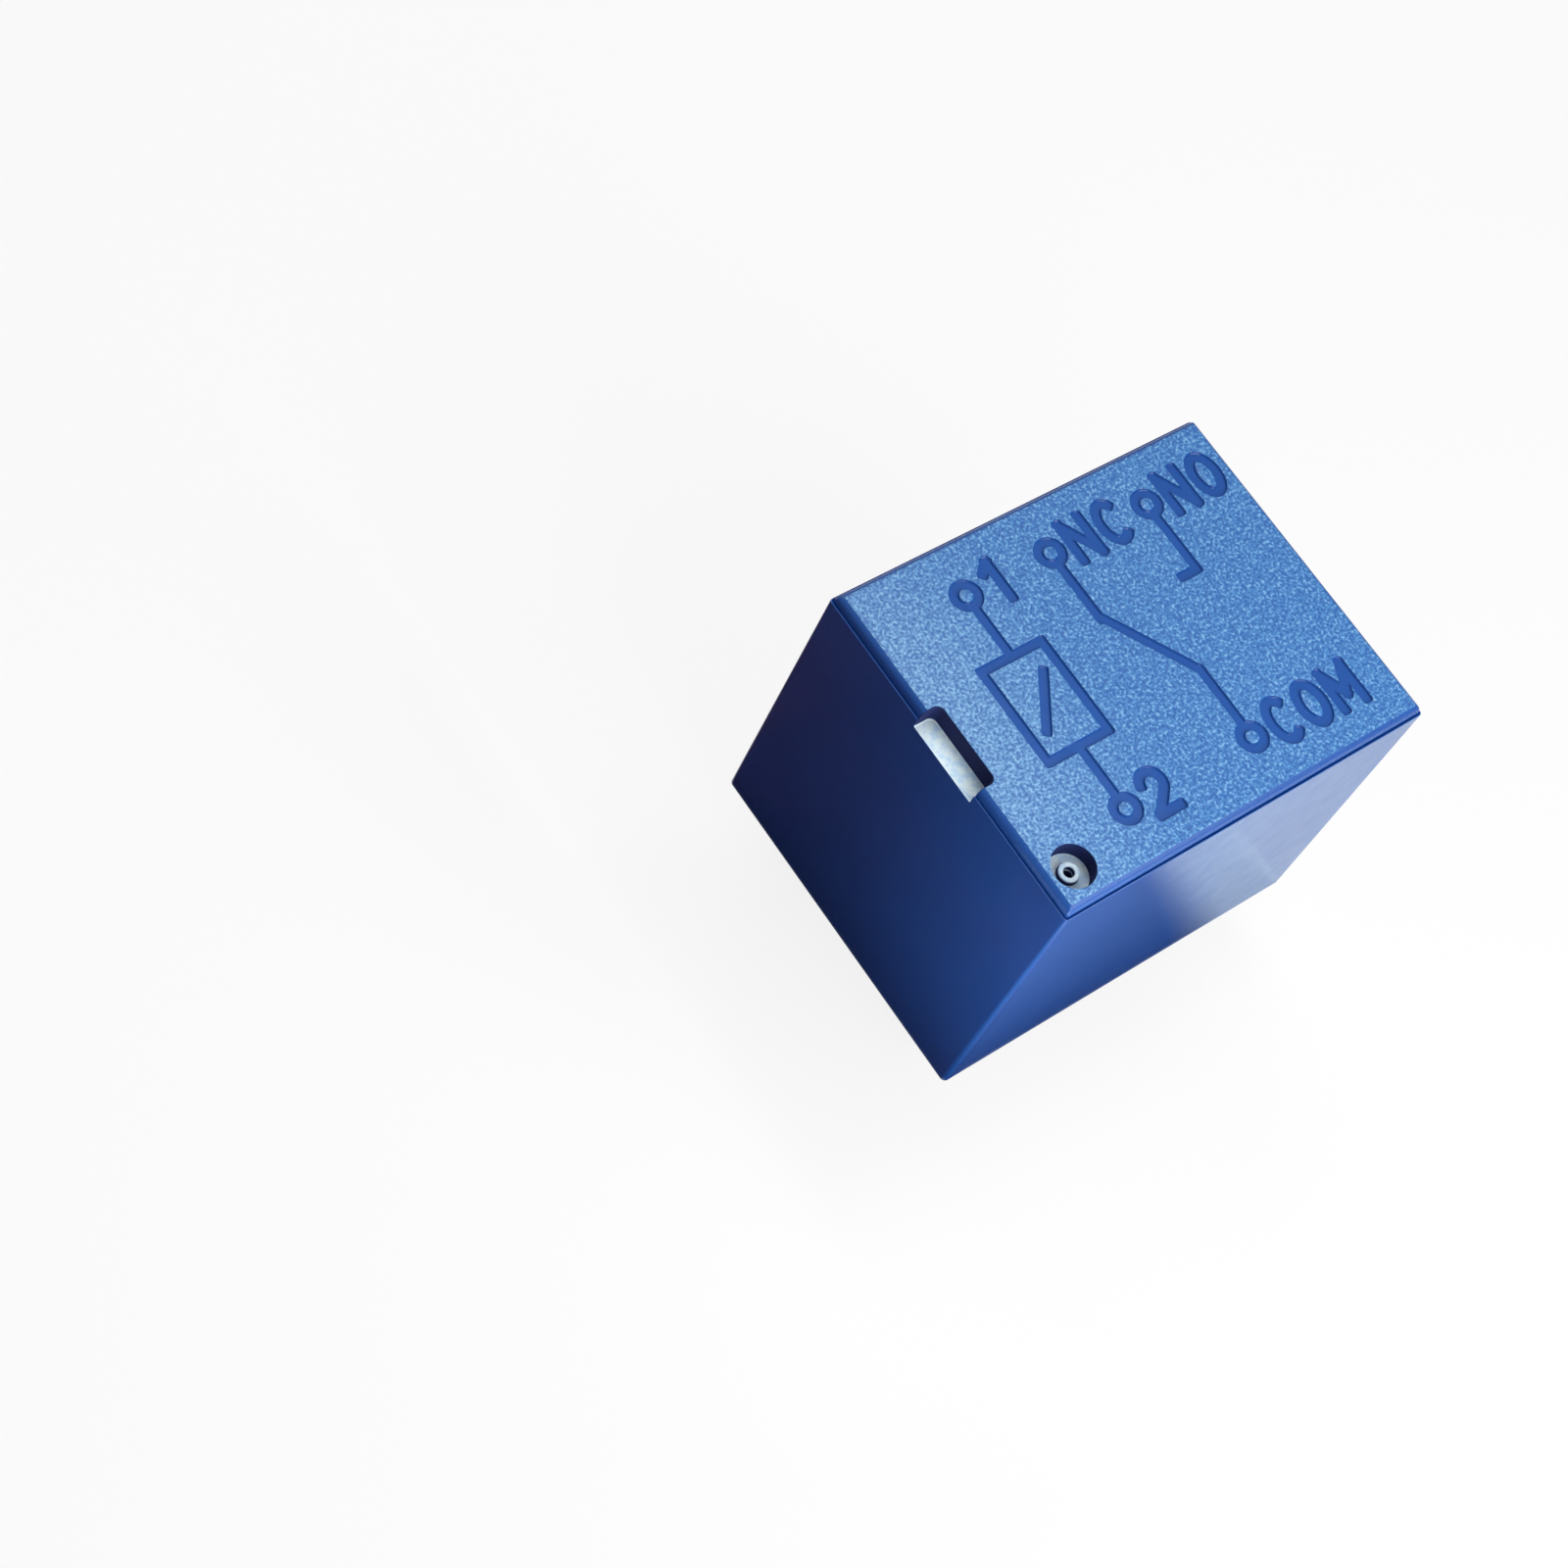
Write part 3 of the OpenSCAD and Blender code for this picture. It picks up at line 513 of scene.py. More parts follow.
# round recess that leaves a nib with a blind hole standing in its middle
def ventCutter(spec):
    lip, fillet, nibTop = spec["lip"], spec["fillet"], ventFloor + spec["nibHeight"]
    hole, nib, wide = spec["holeRadius"], spec["nibRadius"], spec["radius"]
    holeLip, nibLip, nibFoot = spec["holeLip"], spec["nibLip"], nib + spec["nibLean"]
    holeFloor, (inward, upward) = ventFloor - spec["skin"] + spec["holeFloor"], spec["holeFillet"]
    axis, above = spec["axis"], caseTop + cutClear
    section = np.vstack([
        [[axis, holeFloor], [hole - inward, holeFloor], [hole, holeFloor + upward], [hole, nibTop - nibLip]],
        arc(hole + holeLip, nibTop - holeLip, holeLip, 180, 90, 3),
        arc(nib - nibLip, nibTop - nibLip, nibLip, 90, 0, 4),
        [[nibFoot, ventFloor + fillet]], arc(nibFoot + fillet, ventFloor + fillet, fillet, 195, 270, 3),
        arc(wide - fillet, ventFloor + fillet, fillet, 270, 345, 3), [[wide, ventFloor + 2 * fillet]],
        arc(wide + lip, caseTop - lip, lip, 180, 90, 4), [[wide + lip, above], [axis, above]]])
    return turned("ventCut", ventX, ventY, section, spec["steps"])


# sunken wiring sign: coil box, changeover contact and plain terminal marks, read along the case
sign = {"stroke": 0.44, "line": 0.40, "depth": 0.11, "flare": 0.05, "floorRound": (0.03, 0.04), "lean": 0.01,
        "flareBend": 0.3, "above": 0.2, "endSwing": 80, "endSteps": 7, "endPower": 0.5, "letterHeight": 1.75,
        "letterWidth": 1.05, "letterGap": 0.55}


def ovalPath(x, y, halfX, halfY, fromDeg, toDeg, steps=24):
    turn = np.radians(np.linspace(fromDeg, toDeg, steps + 1))
    return np.stack([x + halfX * np.cos(turn), y + halfY * np.sin(turn)], 1)


# strokes of each character in a cell 1 wide and 1 high
glyphs = {"1": [[(0.12, 0.76), (0.55, 1.0)], [(0.55, 1.0), (0.55, 0.0)]],
          "2": [np.vstack([ovalPath(0.5, 0.70, 0.46, 0.30, 165, -38), [(0.06, 0.02)]]),
                [(0.04, 0.0), (0.98, 0.0)]],
          "C": [ovalPath(0.52, 0.5, 0.5, 0.5, 52, 308)],
          "M": [[(0.0, 0.0), (0.0, 1.0)], [(0.0, 1.0), (0.55, 0.3)], [(0.55, 0.3), (1.1, 1.0)],
                [(1.1, 1.0), (1.1, 0.0)]],
          "N": [[(0.0, 0.0), (0.0, 1.0)], [(0.0, 1.0), (0.95, 0.0)], [(0.95, 0.0), (0.95, 1.0)]],
          "O": [ovalPath(0.5, 0.5, 0.5, 0.5, 0, 182), ovalPath(0.5, 0.5, 0.5, 0.5, 180, 362)]}


def wordPaths(word, x, y):
    step = sign["letterWidth"] + sign["letterGap"]
    size = np.array([sign["letterWidth"], sign["letterHeight"]])
    return [np.asarray(path, float) * size + (x + i * step, y)
            for i, letter in enumerate(word) for path in glyphs[letter]]


# groove along a path: the path offset by its half width both ways, with squarish ends where cosine and sine
# are raised to a power, one loop for each height
def groove(path, width):
    path = np.asarray(path, float)
    run = np.gradient(path, axis=0)
    run /= np.linalg.norm(run, axis=1, keepdims=True)
    left = np.stack([-run[:, 1], run[:, 0]], 1)
    swing = np.radians(np.linspace(sign["endSwing"], -sign["endSwing"], sign["endSteps"]))[:, None]
    ahead = np.abs(np.cos(swing)) ** sign["endPower"]
    aside = np.sign(np.sin(swing)) * np.abs(np.sin(swing)) ** sign["endPower"]
    ends = [path[-1] + 0 * ahead, path[0] + 0 * ahead]
    reach = [ahead * run[-1] + aside * left[-1], -(ahead * run[0] + aside * left[0])]
    base = np.vstack([path, ends[0], path[::-1], ends[1]])
    out = np.vstack([left, reach[0], -left[::-1], reach[1]])
    flare, half, (inward, upward) = sign["flare"], width / 2, sign["floorRound"]
    bend = sign["flareBend"] * flare
    heights = [(-inward, -sign["depth"]), (0, upward - sign["depth"]), (sign["lean"], -flare), (bend, -bend),
               (flare, 0), (flare, sign["above"])]
    loops = [np.column_stack([base + out * (half + grow), np.full(len(base), caseTop + up)])
             for grow, up in heights]
    return loft("groove", np.stack(loops)[:, ::-1])


signPlan = {"coilX": -4.6, "coilHalf": (1.5, 2.15), "ncX": -0.35, "comX": 1.9, "noX": 4.7, "endY": 4.6,
            "restY": 1.8, "contactLap": 0.1, "tab": 0.8, "ring": 0.5, "ringSteps": 14, "halfTurn": 182,
            "wordGap": 0.55}


def signPaths(plan):
    coilX, (halfX, halfY) = plan["coilX"], plan["coilHalf"]
    ncX, comX, noX = (plan[key] for key in ("ncX", "comX", "noX"))
    endY, restY, ring = (plan[key] for key in ("endY", "restY", "ring"))
    corners = [(coilX + sx * halfX, sy * halfY) for sx, sy in ((-1, -1), (1, -1), (1, 1), (-1, 1))]
    lines = [[corners[k], corners[(k + 1) % 4]] for k in range(4)]
    lines += [[(coilX - halfX / 2, -halfY / 2), (coilX + halfX / 2, halfY / 2)]]
    lines += [[(coilX, side * halfY), (coilX, side * endY)] for side in (-1, 1)]
    lines += [[(comX, -endY), (comX, -restY)], [(comX, -restY), (ncX + plan["contactLap"], restY)]]
    lines += [[(x, endY), (x, restY)] for x in (ncX, noX)] + [[(noX, restY), (noX - plan["tab"], restY)]]
    marks = {"1": (coilX, 1), "2": (coilX, -1), "NC": (ncX, 1), "NO": (noX, 1), "COM": (comX, -1)}
    words = []
    for word, (x, side) in marks.items():
        middle = side * (endY + ring)
        lines += [ovalPath(x, middle, ring, ring, start, start + plan["halfTurn"], plan["ringSteps"])
                  for start in (0, 180)]   # two halves that overlap a little
        words += wordPaths(word, x + ring + plan["wordGap"], middle - sign["letterHeight"] / 2)
    return [(path, sign["line"]) for path in lines] + [(path, sign["stroke"]) for path in words]


cuts = [notchCutter(notch), ventCutter(vent)]
cuts += [groove(path, width) for path, width in signPaths(signPlan)]
combine(case, cuts, "DIFFERENCE")
print("case cut:", len(case.data.polygons), "faces")


# blue moulding: smooth deep blue on the walls, a paler spark-eroded grain with painted glints on the panel
# top and a painted sheen over it towards the notched end, painted shade on the walls and floors of the notch
# and the vent, and a pale painted reflection on the notch floor and round the nib. Sizes, depths and reaches
# are in mm; a span holds the noise values between which a mix goes over
casePaint = {"deep": (0.012, 0.085, 0.36), "deepAlt": (0.014, 0.093, 0.385), "cloudSize": 5.0,
             "cloudSpan": (0.35, 0.65), "wallRough": 0.18, "edgeRough": 0.28, "edgeReach": 0.85,
             "roughSize": 0.9, "roughSpan": (0.3, 0.7), "roughDrift": (-0.03, 0.03), "peelSize": 2.5,
             "peelRelief": (0.02, 0.02),
             # the grain's own shades, and a painted glint on its highest peaks
             "grain": (0.020, 0.120, 0.42), "grainPeak": (0.070, 0.265, 0.60), "paintedGlint": (0.22, 0.46, 0.76),
             "grainSize": 0.125, "finerShare": 0.55, "grainShares": (0.65, 0.35), "grainSpan": (0.36, 0.60),
             "paintedGlintSpan": (0.58, 0.70), "grainDepth": (0.022, 0.006), "grainRough": 0.42,
             "grainRelief": (0.6, 0.05),
             # painted sheen: the panel top is paler towards the notched end, where the soft box's haze lies
             "paintedSheen": (0.43, 0.71, 0.96), "sheenShare": 0.22, "sheenReach": 8.0, "sheenSpan": (0.36, 0.64),
             "sheenGrain": (0.35, 1.65),
             # painted shade: the walls and floors of the notch and the vent are darkened as if in shadow
             "recessPaintedShade": (0.002, 0.012, 0.10), "sunkRough": 0.9, "sunkMargin": 0.02, "sunkUnder": 0.1,
             # painted reflection: the notch floor, the vent floor and the nib top made pale as though they
             # mirrored the soft box overhead
             "paintedReflection": (0.77, 0.93, 1.0), "paintedReflectionAlt": (0.52, 0.75, 0.98), "reflectionSize": 0.35,
             "reflectionSpan": (0.40, 0.56), "reflectionRough": 0.38, "notchFloorReach": 0.05, "ventReach": 0.06,
             "nibReach": 0.07, "ventReflection": 0.8}


# 1 within reach of a height
def levelMask(g, axes, height, reach):
    off = g.mathNode("ABSOLUTE", g.mathNode("SUBTRACT", axes["Z"], height * mm))
    return g.span(off, reach / 2 * mm, reach * mm, 1, 0, soft=True)


# 1 in the notch: between the end wall's outer face, the back and the sides, from just under the floor up
def notchMask(g, axes, spec):
    margin = spec["sunkMargin"]
    along = g.times(g.above(axes["X"], (caseLow[0] + caseShape["draft"]) * mm),
                    g.below(axes["X"], (caseLow[0] + notch["reach"] + margin) * mm))
    aside = g.below(g.mathNode("ABSOLUTE", axes["Y"]), (notch["width"] / 2 + margin) * mm)
    return g.times(g.times(along, aside), g.above(axes["Z"], (notchFloor - spec["sunkUnder"]) * mm))


# distance from the middle of the notched end, with the width counted half; the painted sheen fades with it
def notchEndAway(g, axes):
    return g.away(g.mathNode("SUBTRACT", axes["X"], caseLow[0] * mm), g.times(axes["Y"], 0.5))


# distance from the axis of the vent
def ventAway(g, axes):
    return g.away(g.mathNode("SUBTRACT", axes["X"], ventX * mm),
                  g.mathNode("SUBTRACT", axes["Y"], ventY * mm))


# 1 on the floor of the vent and on top of its nib
def ventMask(g, axes, spec):
    near = g.below(ventAway(g, axes), (vent["radius"] - spec["sunkMargin"]) * mm)
    floors = g.most(levelMask(g, axes, ventFloor, spec["ventReach"]),
                    levelMask(g, axes, ventFloor + vent["nibHeight"], spec["nibReach"]))
    return g.times(near, floors)


# 1 on the rounded edge of the panel: above the shoulder and within reach of the case's outside
def edgeMask(g, axes, spec):
    outward = g.most(*[g.mathNode("SUBTRACT", g.mathNode("ABSOLUTE", axes[axis]), half * mm)
                       for axis, half in zip("XY", caseHigh[:2])])
    shoulder = caseTop - caseShape["panelHeight"]
    return g.times(g.above(outward, -spec["edgeReach"] * mm), g.above(axes["Z"], shoulder * mm))


# colour of the panel top: peaks of the grain with painted glints, and a painted sheen over them towards the
# notched end
def grainColour(g, axes, spec, grit):
    top = g.blend(g.span(grit, *spec["grainSpan"]), rgb(*spec["grain"]), rgb(*spec["grainPeak"]))
    # painted glints on the grain's highest peaks
    top = g.blend(g.span(grit, *spec["paintedGlintSpan"]), top, rgb(*spec["paintedGlint"]))
    # painted sheen towards the notched end, stronger on the grain's peaks
    paintedSheen = g.span(notchEndAway(g, axes), 0, spec["sheenReach"] * mm, spec["sheenShare"], 0, soft=True)
    paintedSheen = g.times(paintedSheen, g.span(grit, *spec["sheenSpan"], *spec["sheenGrain"]))
    return g.blend(paintedSheen, top, rgb(*spec["paintedSheen"]))


def casePlastic(spec):
    g = Graph("blueMoulding")
    axes = g.add("SeparateXYZ", {0: g.place}).outputs
    onPanel = g.span(axes["Z"], *[(caseTop - depth) * mm for depth in spec["grainDepth"]], soft=True)
    fine, finer = g.noise(spec["grainSize"], 0), g.noise(spec["finerShare"] * spec["grainSize"], 0)
    grit = g.shared(fine, finer, spec["grainShares"])
    inNotch = notchMask(g, axes, spec)
    shadedRecess = g.most(inNotch, g.below(ventAway(g, axes), (vent["radius"] + spec["sunkMargin"]) * mm))
    # painted reflection on the notch floor, and a little less on the vent floor and nib top
    notchFloorReflection = g.times(levelMask(g, axes, notchFloor, spec["notchFloorReach"]), inNotch)
    paintedReflection = g.most(notchFloorReflection, g.times(ventMask(g, axes, spec), spec["ventReflection"]))

    cloud = g.span(g.noise(spec["cloudSize"], 2), *spec["cloudSpan"])
    colour = g.blend(cloud, rgb(*spec["deep"]), rgb(*spec["deepAlt"]))
    # painted shade darkens the notch and the vent
    colour = g.blend(shadedRecess, colour, rgb(*spec["recessPaintedShade"]))
    colour = g.blend(onPanel, colour, grainColour(g, axes, spec, grit))
    reflectionMottle = g.span(g.noise(spec["reflectionSize"], 4, 0.7), *spec["reflectionSpan"])
    # pale mottled painted reflection laid over the recess floors
    colour = g.blend(paintedReflection, colour, g.blend(reflectionMottle, rgb(*spec["paintedReflectionAlt"]), rgb(*spec["paintedReflection"])))

    rough = g.span(edgeMask(g, axes, spec), 0, 1, spec["wallRough"], spec["edgeRough"])
    rough = g.mix(onPanel, rough, spec["grainRough"])
    rough = g.mix(shadedRecess, rough, spec["sunkRough"])
    drift = g.span(g.noise(spec["roughSize"], 3), *spec["roughSpan"], *spec["roughDrift"])
    rough = g.mix(paintedReflection, g.mathNode("ADD", rough, drift), spec["reflectionRough"])

    peel = g.bump(g.noise(spec["peelSize"], 1), *spec["peelRelief"])
    relief = g.bump(g.times(grit, onPanel), *spec["grainRelief"], peel)
    return g.finish(Base_Color=colour, Roughness=rough, Normal=relief)


softenShading(case, sharpDeg=35)
dress(case, casePlastic(casePaint))
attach(case, "housing")
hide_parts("case")
print("case dressed")


# potting: resin inside the rim that climbs the walls and the pins, with a second pour that lies as a puddle
# in the middle and a round mark on it. Its face lies at level - climb exp(-d / climbReach)
# - pinClimb sum exp(-(pin distance / pinReach)^2) - bumps - puddle + mark - swell, where the swell is
# sin(along x) cos(along y) + slantShare sin(aslant), each wave given by its rates per mm and its shift
potting = {"gap": 0.004, "level": 0.40, "top": 0.99, "topShare": 0.998, "corner": 0.11,
           "climb": 0.20, "climbReach": 0.35, "pinClimb": 0.16, "pinReach": 0.62,
           "swell": 0.035, "alongX": (1.1, 0.6), "alongY": (0.9, -0.4), "aslant": (0.7, -1.3, 1.0),
           "slantShare": 0.6,
           "bumps": ((-3.4, 2.8, 0.50, 0.10), (-3.4, -3.1, 0.45, 0.09), (5.6, 2.4, 0.45, 0.08)),
           "puddle": {"x": 0.75, "y": -0.2, "halfX": 6.9, "halfY": 5.2, "wobble": 0.045, "rise": 0.03,
                      "lobes": ((1.0, 3, 0.9), (0.9, 7, -0.6)), "softWidth": 0.25, "filmWidth": 0.2,
                      "ridge": 0.013, "ridgeWidth": 0.13},
           "mark": {"x": 0.1, "y": -0.2, "radius": 2.0, "sink": 0.03, "softWidth": 0.1, "filmShare": 0.8,
                    "ridge": 0.015, "ridgeWidth": 0.12},
           "cornerSteps": 6, "sideSteps": 104, "rows": 84, "wallRows": 20, "wallShare": 0.06,
           "wallPower": 1.5, "middleShare": 0.0004}
pins = {"com_terminal": (7.3, 0.0), "coil_terminal_a": (5.3, 6.0), "coil_terminal_b": (5.3, -6.0),
        "nc_terminal": (-6.9, 6.0), "no_terminal": (-6.9, -6.0)}
pottingHalf = (caseHigh - caseShape["wall"] - potting["gap"])[:2]


# distance out from the puddle's edge, a wavy oval with |u|^3 + |v|^3 = 1
def puddleOff(spec, x, y):
    u, v = (x - spec["x"]) / spec["halfX"], (y - spec["y"]) / spec["halfY"]
    turn = np.arctan2(v, u)
    waves = sum(share * np.sin(count * turn + shift) for share, count, shift in spec["lobes"])
    edge = 1 + spec["wobble"] * waves
    return (np.cbrt(np.abs(u) ** 3 + np.abs(v) ** 3) - edge) * spec["halfY"]


# distance out from the edge of the round mark
def markOff(spec, x, y):
    return np.hypot(x - spec["x"], y - spec["y"]) - spec["radius"]


# 1 inside an edge, 0 outside it, over a soft width
def within(off, width):
    return 0.5 - 0.5 * np.tanh(off / width)


# fine ridge along an edge
def ridge(spec, off):
    return spec["ridge"] * np.exp(-(off / spec["ridgeWidth"]) ** 2)


def pottingFace(spec, x, y):
    fromWall = np.clip(np.minimum(pottingHalf[0] - np.abs(x), pottingHalf[1] - np.abs(y)), 0, None)
    z = spec["level"] - spec["climb"] * np.exp(-fromWall / spec["climbReach"])
    for pinX, pinY in pins.values():
        z = z - spec["pinClimb"] * np.exp(-((x - pinX) ** 2 + (y - pinY) ** 2) / spec["pinReach"] ** 2)
    for bumpX, bumpY, radius, rise in spec["bumps"]:
        z = z - rise * np.exp(-(((x - bumpX) ** 2 + (y - bumpY) ** 2) / radius ** 2) ** 2)
    puddle, mark = spec["puddle"], spec["mark"]
    off = puddleOff(puddle, x, y)
    z = z - puddle["rise"] * within(off, puddle["softWidth"]) - ridge(puddle, off)
    off = markOff(mark, x, y)
    z = z + mark["sink"] * within(off, mark["softWidth"]) - ridge(mark, off)
    (rateX, shiftX), (rateY, shiftY) = spec["alongX"], spec["alongY"]
    slantX, slantY, shift = spec["aslant"]
    wave = np.sin(rateX * x + shiftX) * np.cos(rateY * y + shiftY)
    wave = wave + spec["slantShare"] * np.sin(slantX * x + slantY * y + shift)
    return z - spec["swell"] * wave * (1 - np.exp(-fromWall))


# the outline at the wall shrunk towards the middle, in finer steps near the wall, and a lid above
def pottingLoops(spec):
    inner = np.linspace(spec["middleShare"], 1 - spec["wallShare"], spec["rows"])
    outer = 1 - spec["wallShare"] * np.linspace(1, 0, spec["wallRows"])[1:] ** spec["wallPower"]
    share = np.concatenate([inner, outer])[:, None]
    cx, cy, dx, dy = roundedLoop(spec["cornerSteps"], spec["sideSteps"])
    (a, b), r = pottingHalf, spec["corner"]
    x, y = share * (cx * (a - r) + dx * r), share * (cy * (b - r) + dy * r)
    face = np.stack([x, y, pottingFace(spec, x, y)], -1)
    lid = face[-1:] * (spec["topShare"], spec["topShare"], 0) + (0, 0, spec["top"])
    return np.concatenate([face, lid])


# share of dull film at each point: outside the puddle, and on the round mark
def addFilm(obj, spec, loops):
    x, y = loops[..., 0].ravel(), loops[..., 1].ravel()
    puddle, mark = spec["puddle"], spec["mark"]
    film = np.maximum(1 - within(puddleOff(puddle, x, y), puddle["filmWidth"]),
                      mark["filmShare"] * within(markOff(mark, x, y), mark["softWidth"]))
    values = obj.data.attributes.new("film", "FLOAT", "POINT").data
    values.foreach_set("value", film.astype(np.float32))


resinLoops = pottingLoops(potting)
resin = loft("potting_resin", resinLoops)
addFilm(resin, potting, resinLoops)
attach(resin, "housing")
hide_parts("potting_seal")
softenShading(resin, sharpDeg=50)


# resin: near black and glossy in the puddle, with a greyer dull film towards the rim and on the mark
resinPaint = {"dark": (0.011, 0.010, 0.007), "film": (0.024, 0.024, 0.027), "gloss": 0.16, "dull": 0.44,
              "filmSize": 0.8, "filmSpan": (0.3, 0.62), "filmShares": (0.55, 1.0), "cloudSize": 2.6,
              "cloudSpan": (0.3, 0.7), "cloudShares": (0.0, 0.25), "rippleSize": 1.3, "ripple": (0.12, 0.06),
              "gritSize": 0.10, "grit": (0.25, 0.02)}


def resinMaterial(spec):
    g = Graph("blackResin")
    cover = g.add("Attribute", attribute_name="film").outputs["Fac"]
    torn = g.span(g.noise(spec["filmSize"], 4, 0.6), *spec["filmSpan"], *spec["filmShares"])
    cloudy = g.span(g.noise(spec["cloudSize"], 3), *spec["cloudSpan"], *spec["cloudShares"])
    film = g.most(g.times(cover, torn), cloudy)
    rough = g.span(film, 0, 1, spec["gloss"], spec["dull"])
    ripple = g.bump(g.noise(spec["rippleSize"], 2), *spec["ripple"])
    grit = g.bump(g.times(g.noise(spec["gritSize"], 2), cover), *spec["grit"], ripple)
    colour = g.blend(film, rgb(*spec["dark"]), rgb(*spec["film"]))
    return g.finish(Base_Color=colour, Roughness=rough, Normal=grit)


dress(resin, resinMaterial(resinPaint))
print("potting made:", len(resin.data.polygons), "faces")


# winding: one layer of wire seen from outside. Its radius is outer - half pitch (1 - sqrt(1 - w^2)), with
# w from -1 to 1 across one wire, less at the ends; the thread climbs one pitch per turn and lies unevenly by
# uneven sin(unevenTurns turn + unevenClimb z)
winding = {"pitch": 0.166, "perWire": 7, "around": 112, "axisX": 0.81, "bore": 2.68, "shoulder": 0.35,
           "uneven": 0.02, "unevenTurns": 3, "unevenClimb": 1.7}


def windingLoops(spec):
    low, high = nodeBox("coil_winding")
    outer = (high[1] - low[1]) / 2
    turns = int((high[2] - low[2]) / spec["pitch"])
    turn = np.linspace(0, 2 * pi, spec["around"], endpoint=False)[None, :]
    z = np.linspace(low[2], high[2], turns * spec["perWire"] + 1)[:, None]
    across = 2 * ((z - low[2]) / spec["pitch"] - turn / (2 * pi)) % 2 - 1
    half = spec["pitch"] / 2
    soft = np.clip(np.minimum(z - low[2], high[2] - z) / spec["shoulder"], 0, 1)
    radius = outer - half * (2 - soft - np.sqrt(np.clip(1 - across ** 2, 0, 1)))
    uneven = spec["uneven"] * np.sin(spec["unevenTurns"] * turn + spec["unevenClimb"] * z)
    bore = np.full_like(turn, spec["bore"])
    radius = np.vstack([bore, np.clip(radius - uneven, None, outer), bore])
    z = np.vstack([z[:1], z, z[-1:]])
    return np.stack([spec["axisX"] + radius * np.cos(turn), radius * np.sin(turn),
                     np.broadcast_to(z, radius.shape)], -1)


# skin over loops that also closes from the last loop back to the first, so that a bore runs through
def tubeLoft(name, loops):
    rows, cols = loops.shape[:2]
    faces = gridFaces(rows, cols, wrapRows=True, wrapCols=True)
    return addMesh(name, loops.reshape(-1, 3), faces.tolist())


coil = tubeLoft("wire_winding", windingLoops(winding))
softenShading(coil, sharpDeg=70)
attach(coil, "housing")
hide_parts("coil_winding")
print("winding made:", len(coil.data.polygons), "faces")


# leaf: a strip of constant thickness carried along a path in the XZ plane, from its tip over the armature
# and round the hinge to the yoke. Its level part lies opened about the hinge, with a step whose two bends
# are eased by creep exp(-(ramp / creepReach)^2). The half width goes from tip to wide over the step
leaf = {"thick": 0.15, "wide": 3.0, "tip": 1.5, "nose": 0.5, "open": 2.2, "hinge": (6.51, 11.45),
        "bendRadius": 0.875, "tipX": -8.25, "footX": -4.79, "stepX": -3.69, "frontX": -3.39, "flatEndX": 6.0,
        "drop": 1.1, "creep": 0.04, "creepReach": 0.1, "rampPast": 0.2, "flatZ": 12.85, "legX": 6.88,
        "legZ": 5.5, "edge": 0.03, "stepLap": 0.2, "flatGap": 0.25, "legGap": 0.2,
        "steps": {"tip": 14, "step": 26, "flat": 22, "bend": 16, "leg": 24, "across": 13}}


# places along the level part, closer together over the step
def leafStations(spec):
    lap, gap, steps = spec["stepLap"], spec["flatGap"], spec["steps"]
    return np.concatenate([np.linspace(spec["tipX"], spec["footX"] - gap, steps["tip"]),
                           np.linspace(spec["footX"] - lap, spec["stepX"] + lap, steps["step"]),
                           np.linspace(spec["stepX"] + gap, spec["flatEndX"], steps["flat"])])


# the leaf's middle line as (x, z), for given places along the level part
def leafPath(spec, x):
    turn, steps = radians(spec["open"]), spec["steps"]
    hingeX, hingeZ = spec["hinge"]
    ramp, past = (x - spec["footX"]) / (spec["stepX"] - spec["footX"]), spec["rampPast"]
    ramp, reach = np.clip(ramp, -past, 1 + past), spec["creepReach"]
    creep = np.exp(-(ramp / reach) ** 2) - np.exp(-((ramp - 1) / reach) ** 2)
    ease = np.clip(ramp, 0, 1) + spec["creep"] * creep
    z = spec["flatZ"] + spec["thick"] / 2 - spec["drop"] * (1 - ease)
    flat = np.stack([hingeX + (x - hingeX) * cos(turn) + (z - hingeZ) * sin(turn),
                     hingeZ - (x - hingeX) * sin(turn) + (z - hingeZ) * cos(turn)], -1)
    legX, radius = spec["legX"] + spec["thick"] / 2, spec["bendRadius"]
    bendX = legX - radius * (1 - sin(turn))
    bendZ = flat[-1, 1] - (bendX - flat[-1, 0]) * sin(turn) / cos(turn)
    middleZ = bendZ - radius * cos(turn)
    bend = arc(legX - radius, middleZ, radius, 90 - spec["open"], 0, steps["bend"])
    legZ = np.linspace(middleZ - spec["legGap"], spec["legZ"], steps["leg"])
    leg = np.stack([np.full_like(legZ, legX), legZ], 1)
    return np.vstack([flat, bend, leg])


# half width at each place, rounded off at the nose
def leafHalf(spec, x):
    widen = np.clip((x - spec["footX"]) / (spec["frontX"] - spec["footX"]), 0, 1)
    toTip = np.clip((spec["tipX"] + spec["nose"] - x) / spec["nose"], 0, 1)
    return spec["tip"] + (spec["wide"] - spec["tip"]) * widen - spec["nose"] * (1 - np.sqrt(1 - toTip ** 2))


